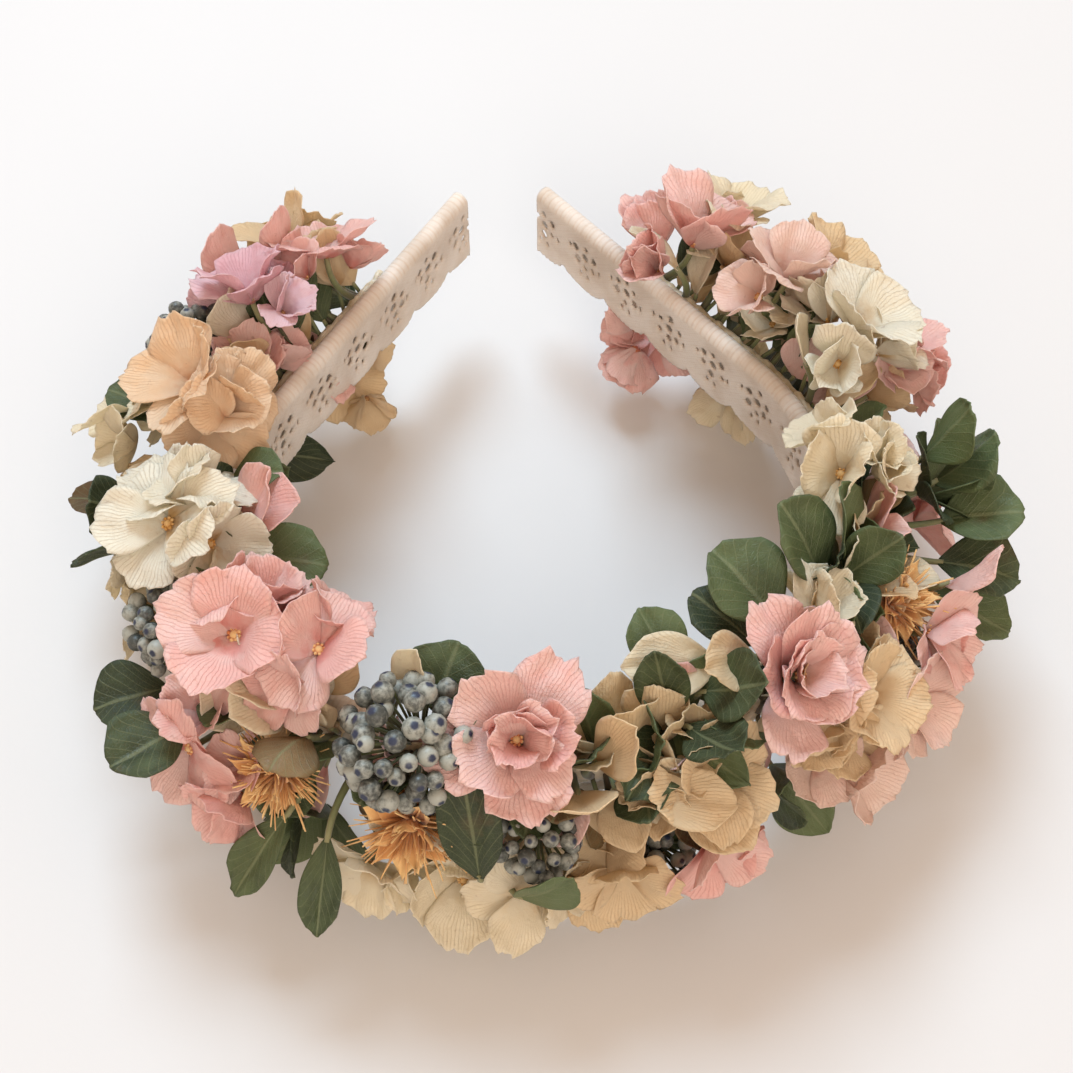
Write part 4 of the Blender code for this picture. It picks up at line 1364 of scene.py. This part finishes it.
def tie_stretch(piece, kind, stretch):
    """Bakes a strip's place into its points and hides the parts of the band that it stands for."""
    first, second, joint, bodies = stretch
    start, end = (on_band(joint + side * BEND_HALF, CORE_SECTION[0], 0.0) for side in (-1, 1))
    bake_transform(piece)
    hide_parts(*(f"{kind}_{body}" for body in bodies))


def rounded(half_out, half_up):
    """Points round a rounded rectangle: a circle with its sine and cosine raised to
    a power below one."""
    points, power = 16, 0.45
    angle = np.arange(points) * 2 * pi / points
    out = np.sign(np.cos(angle)) * np.abs(np.cos(angle)) ** power * half_out
    up = np.sign(np.sin(angle)) * np.abs(np.sin(angle)) ** power * half_up
    return out, up


def build_strip(kind, section, end_at, lumps, finish):
    """A strip along the band in four stretches: a rounded section carried along
    the path, swollen here and there by lumps."""
    out, half_out, half_up = section
    section_out, section_up = rounded(half_out, half_up)
    for stretch, start, end in stretches(end_at):
        along = np.linspace(start, end, int((end - start) / STRIP_STEP) + 1)[:, None]
        swell = 1 + lumps * (np.sin(along * 0.9) * np.sin(along * 0.37 + 1.0))
        wobble = 1 + lumps * 0.6 * np.sin(along * 2.1 + section_up[None] * 1.7)
        points = on_band(along, out + section_out[None] * swell, section_up[None] * swell * wobble)
        sheets = Sheets()
        sheets.add(points[None], 0, 0.5, around=True)
        piece = sheets.make(stretch_name(kind, stretch), [finish_called(finish)])
        tie_stretch(piece, kind, stretch)


def build_stage():
    """The table under the crown, a soft light from behind and above it, a fill
    from the front, and the camera."""
    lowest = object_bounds()[0][2]
    sides = np.linspace(-TABLE_HALF, TABLE_HALF, 2)
    x, y = np.meshgrid(sides, sides)
    sheets = Sheets()
    sheets.add(np.stack((x, y, np.full_like(x, lowest)), -1)[None])
    sheets.make("table", [finish_called("table_top")])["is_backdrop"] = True
    room = bpy.data.worlds.new("room")
    room.use_nodes = True
    light = room.node_tree.nodes["Background"].inputs
    light["Color"].default_value = ROOM_COLOUR
    light["Strength"].default_value = ROOM_STRENGTH
    for name, place, size, power, tint in LAMPS:
        add_light(name, place, size, power, tint)
    camera = bpy.data.cameras.new("camera")
    camera.lens = CAMERA_LENS
    camera.sensor_width = CAMERA_SENSOR
    camera.clip_start = CAMERA_NEAR
    scene = bpy.context.scene
    scene.world = room
    scene.camera = place_at(camera, "camera", CAMERA_PLACE, CAMERA_AIM)
    scene.view_settings.view_transform = "Standard"


def place_at(data, name, place, aim):
    """Puts a light or the camera at a place, looking at an aim, and returns it."""
    item = bpy.data.objects.new(name, data)
    bpy.context.scene.collection.objects.link(item)
    item.location = place
    item.rotation_euler = (Vector(aim) - Vector(place)).to_track_quat("-Z", "Y").to_euler()
    return item


def add_light(name, place, size, power, tint):
    """A square soft light aimed at the crown."""
    light = bpy.data.lights.new(name, "AREA")
    light.shape = "SQUARE"
    light.size = size
    light.energy = power
    light.color = tint
    place_at(light, name, place, LAMP_AIM)


class CROWN_OT_lace(bpy.types.Operator):
    """Make the crochet lace"""

    bl_idname = "crown.lace"
    bl_label = "Lace"

    def execute(self, context):
        build_lace()
        return {"FINISHED"}


class CROWN_OT_core(bpy.types.Operator):
    """Make the springy strip inside the lace"""

    bl_idname = "crown.core"
    bl_label = "Strip"

    def execute(self, context):
        build_strip("core", CORE_SECTION, HALF_LENGTH, 0.0, "band_core")
        return {"FINISHED"}


class CROWN_OT_glue(bpy.types.Operator):
    """Make the glue bed that holds the stems"""

    bl_idname = "crown.glue"
    bl_label = "Glue"

    def execute(self, context):
        build_strip("glue", GLUE_SECTION, GLUE_END, GLUE_LUMPS, "glue_set")
        return {"FINISHED"}


class CROWN_OT_florets(bpy.types.Operator):
    """Make the hydrangea heads"""

    bl_idname = "crown.florets"
    bl_label = "Hydrangea florets"

    def execute(self, context):
        build_florets()
        return {"FINISHED"}


class CROWN_OT_roses(bpy.types.Operator):
    """Make the roses"""

    bl_idname = "crown.roses"
    bl_label = "Roses"

    def execute(self, context):
        build_roses()
        return {"FINISHED"}


class CROWN_OT_sprigs(bpy.types.Operator):
    """Make the leaf sprigs"""

    bl_idname = "crown.sprigs"
    bl_label = "Leaf sprigs"

    def execute(self, context):
        build_sprigs()
        return {"FINISHED"}


class CROWN_OT_berries(bpy.types.Operator):
    """Make the berry bunches"""

    bl_idname = "crown.berries"
    bl_label = "Berry bunches"

    def execute(self, context):
        build_berries()
        return {"FINISHED"}


class CROWN_OT_brushes(bpy.types.Operator):
    """Make the dried brushes"""

    bl_idname = "crown.brushes"
    bl_label = "Dried brushes"

    def execute(self, context):
        build_brushes()
        return {"FINISHED"}


class CROWN_OT_tucked(bpy.types.Operator):
    """Tuck single petals and leaves between the heads"""

    bl_idname = "crown.tucked"
    bl_label = "Tucked petals and leaves"

    def execute(self, context):
        build_tucked()
        return {"FINISHED"}


class CROWN_OT_low_florets(bpy.types.Operator):
    """Make the small florets between the heads"""

    bl_idname = "crown.low_florets"
    bl_label = "Small florets"

    def execute(self, context):
        build_low_florets()
        return {"FINISHED"}


class CROWN_OT_filling(bpy.types.Operator):
    """Fill the garland between the heads"""

    bl_idname = "crown.filling"
    bl_label = "Filling leaves and petals"

    def execute(self, context):
        build_filling()
        return {"FINISHED"}


class CROWN_OT_stage(bpy.types.Operator):
    """Set the table, the lights and the camera"""

    bl_idname = "crown.stage"
    bl_label = "Stage"

    def execute(self, context):
        build_stage()
        return {"FINISHED"}


OPERATORS = (
    CROWN_OT_lace, CROWN_OT_core, CROWN_OT_glue, CROWN_OT_florets, CROWN_OT_roses,
    CROWN_OT_sprigs, CROWN_OT_berries, CROWN_OT_brushes, CROWN_OT_tucked,
    CROWN_OT_low_florets, CROWN_OT_filling, CROWN_OT_stage,
)


class CROWN_PT_panel(bpy.types.Panel):
    """Sizes, colours and steps of the flower crown"""

    bl_idname = "CROWN_PT_panel"
    bl_label = "Flower crown"
    bl_space_type = "VIEW_3D"
    bl_region_type = "UI"
    bl_category = "Flower crown"

    def draw(self, context):
        for group in (context.scene.crown_sizes, context.scene.crown_colours):
            for name in group.__annotations__:
                self.layout.prop(group, name)
        for operator in OPERATORS:
            self.layout.operator(operator.bl_idname)


def register():
    """Makes the sizes, colours, steps and panel known to Blender."""
    for item in (CrownSizes, CrownColours, *OPERATORS, CROWN_PT_panel):
        bpy.utils.register_class(item)
    bpy.types.Scene.crown_sizes = PointerProperty(type=CrownSizes)
    bpy.types.Scene.crown_colours = PointerProperty(type=CrownColours)


def unregister():
    """Takes away what register made."""
    del bpy.types.Scene.crown_colours
    del bpy.types.Scene.crown_sizes
    for item in (CROWN_PT_panel, *reversed(OPERATORS), CrownColours, CrownSizes):
        bpy.utils.unregister_class(item)


def main():
    """Builds the crown step by step."""
    register()
    bpy.ops.crown.lace()
    bpy.ops.crown.core()
    bpy.ops.crown.glue()
    bpy.ops.crown.florets()
    bpy.ops.crown.roses()
    bpy.ops.crown.sprigs()
    bpy.ops.crown.berries()
    bpy.ops.crown.brushes()
    bpy.ops.crown.tucked()
    bpy.ops.crown.low_florets()
    bpy.ops.crown.filling()
    bpy.ops.crown.stage()


if __name__ == "__main__":
    main()
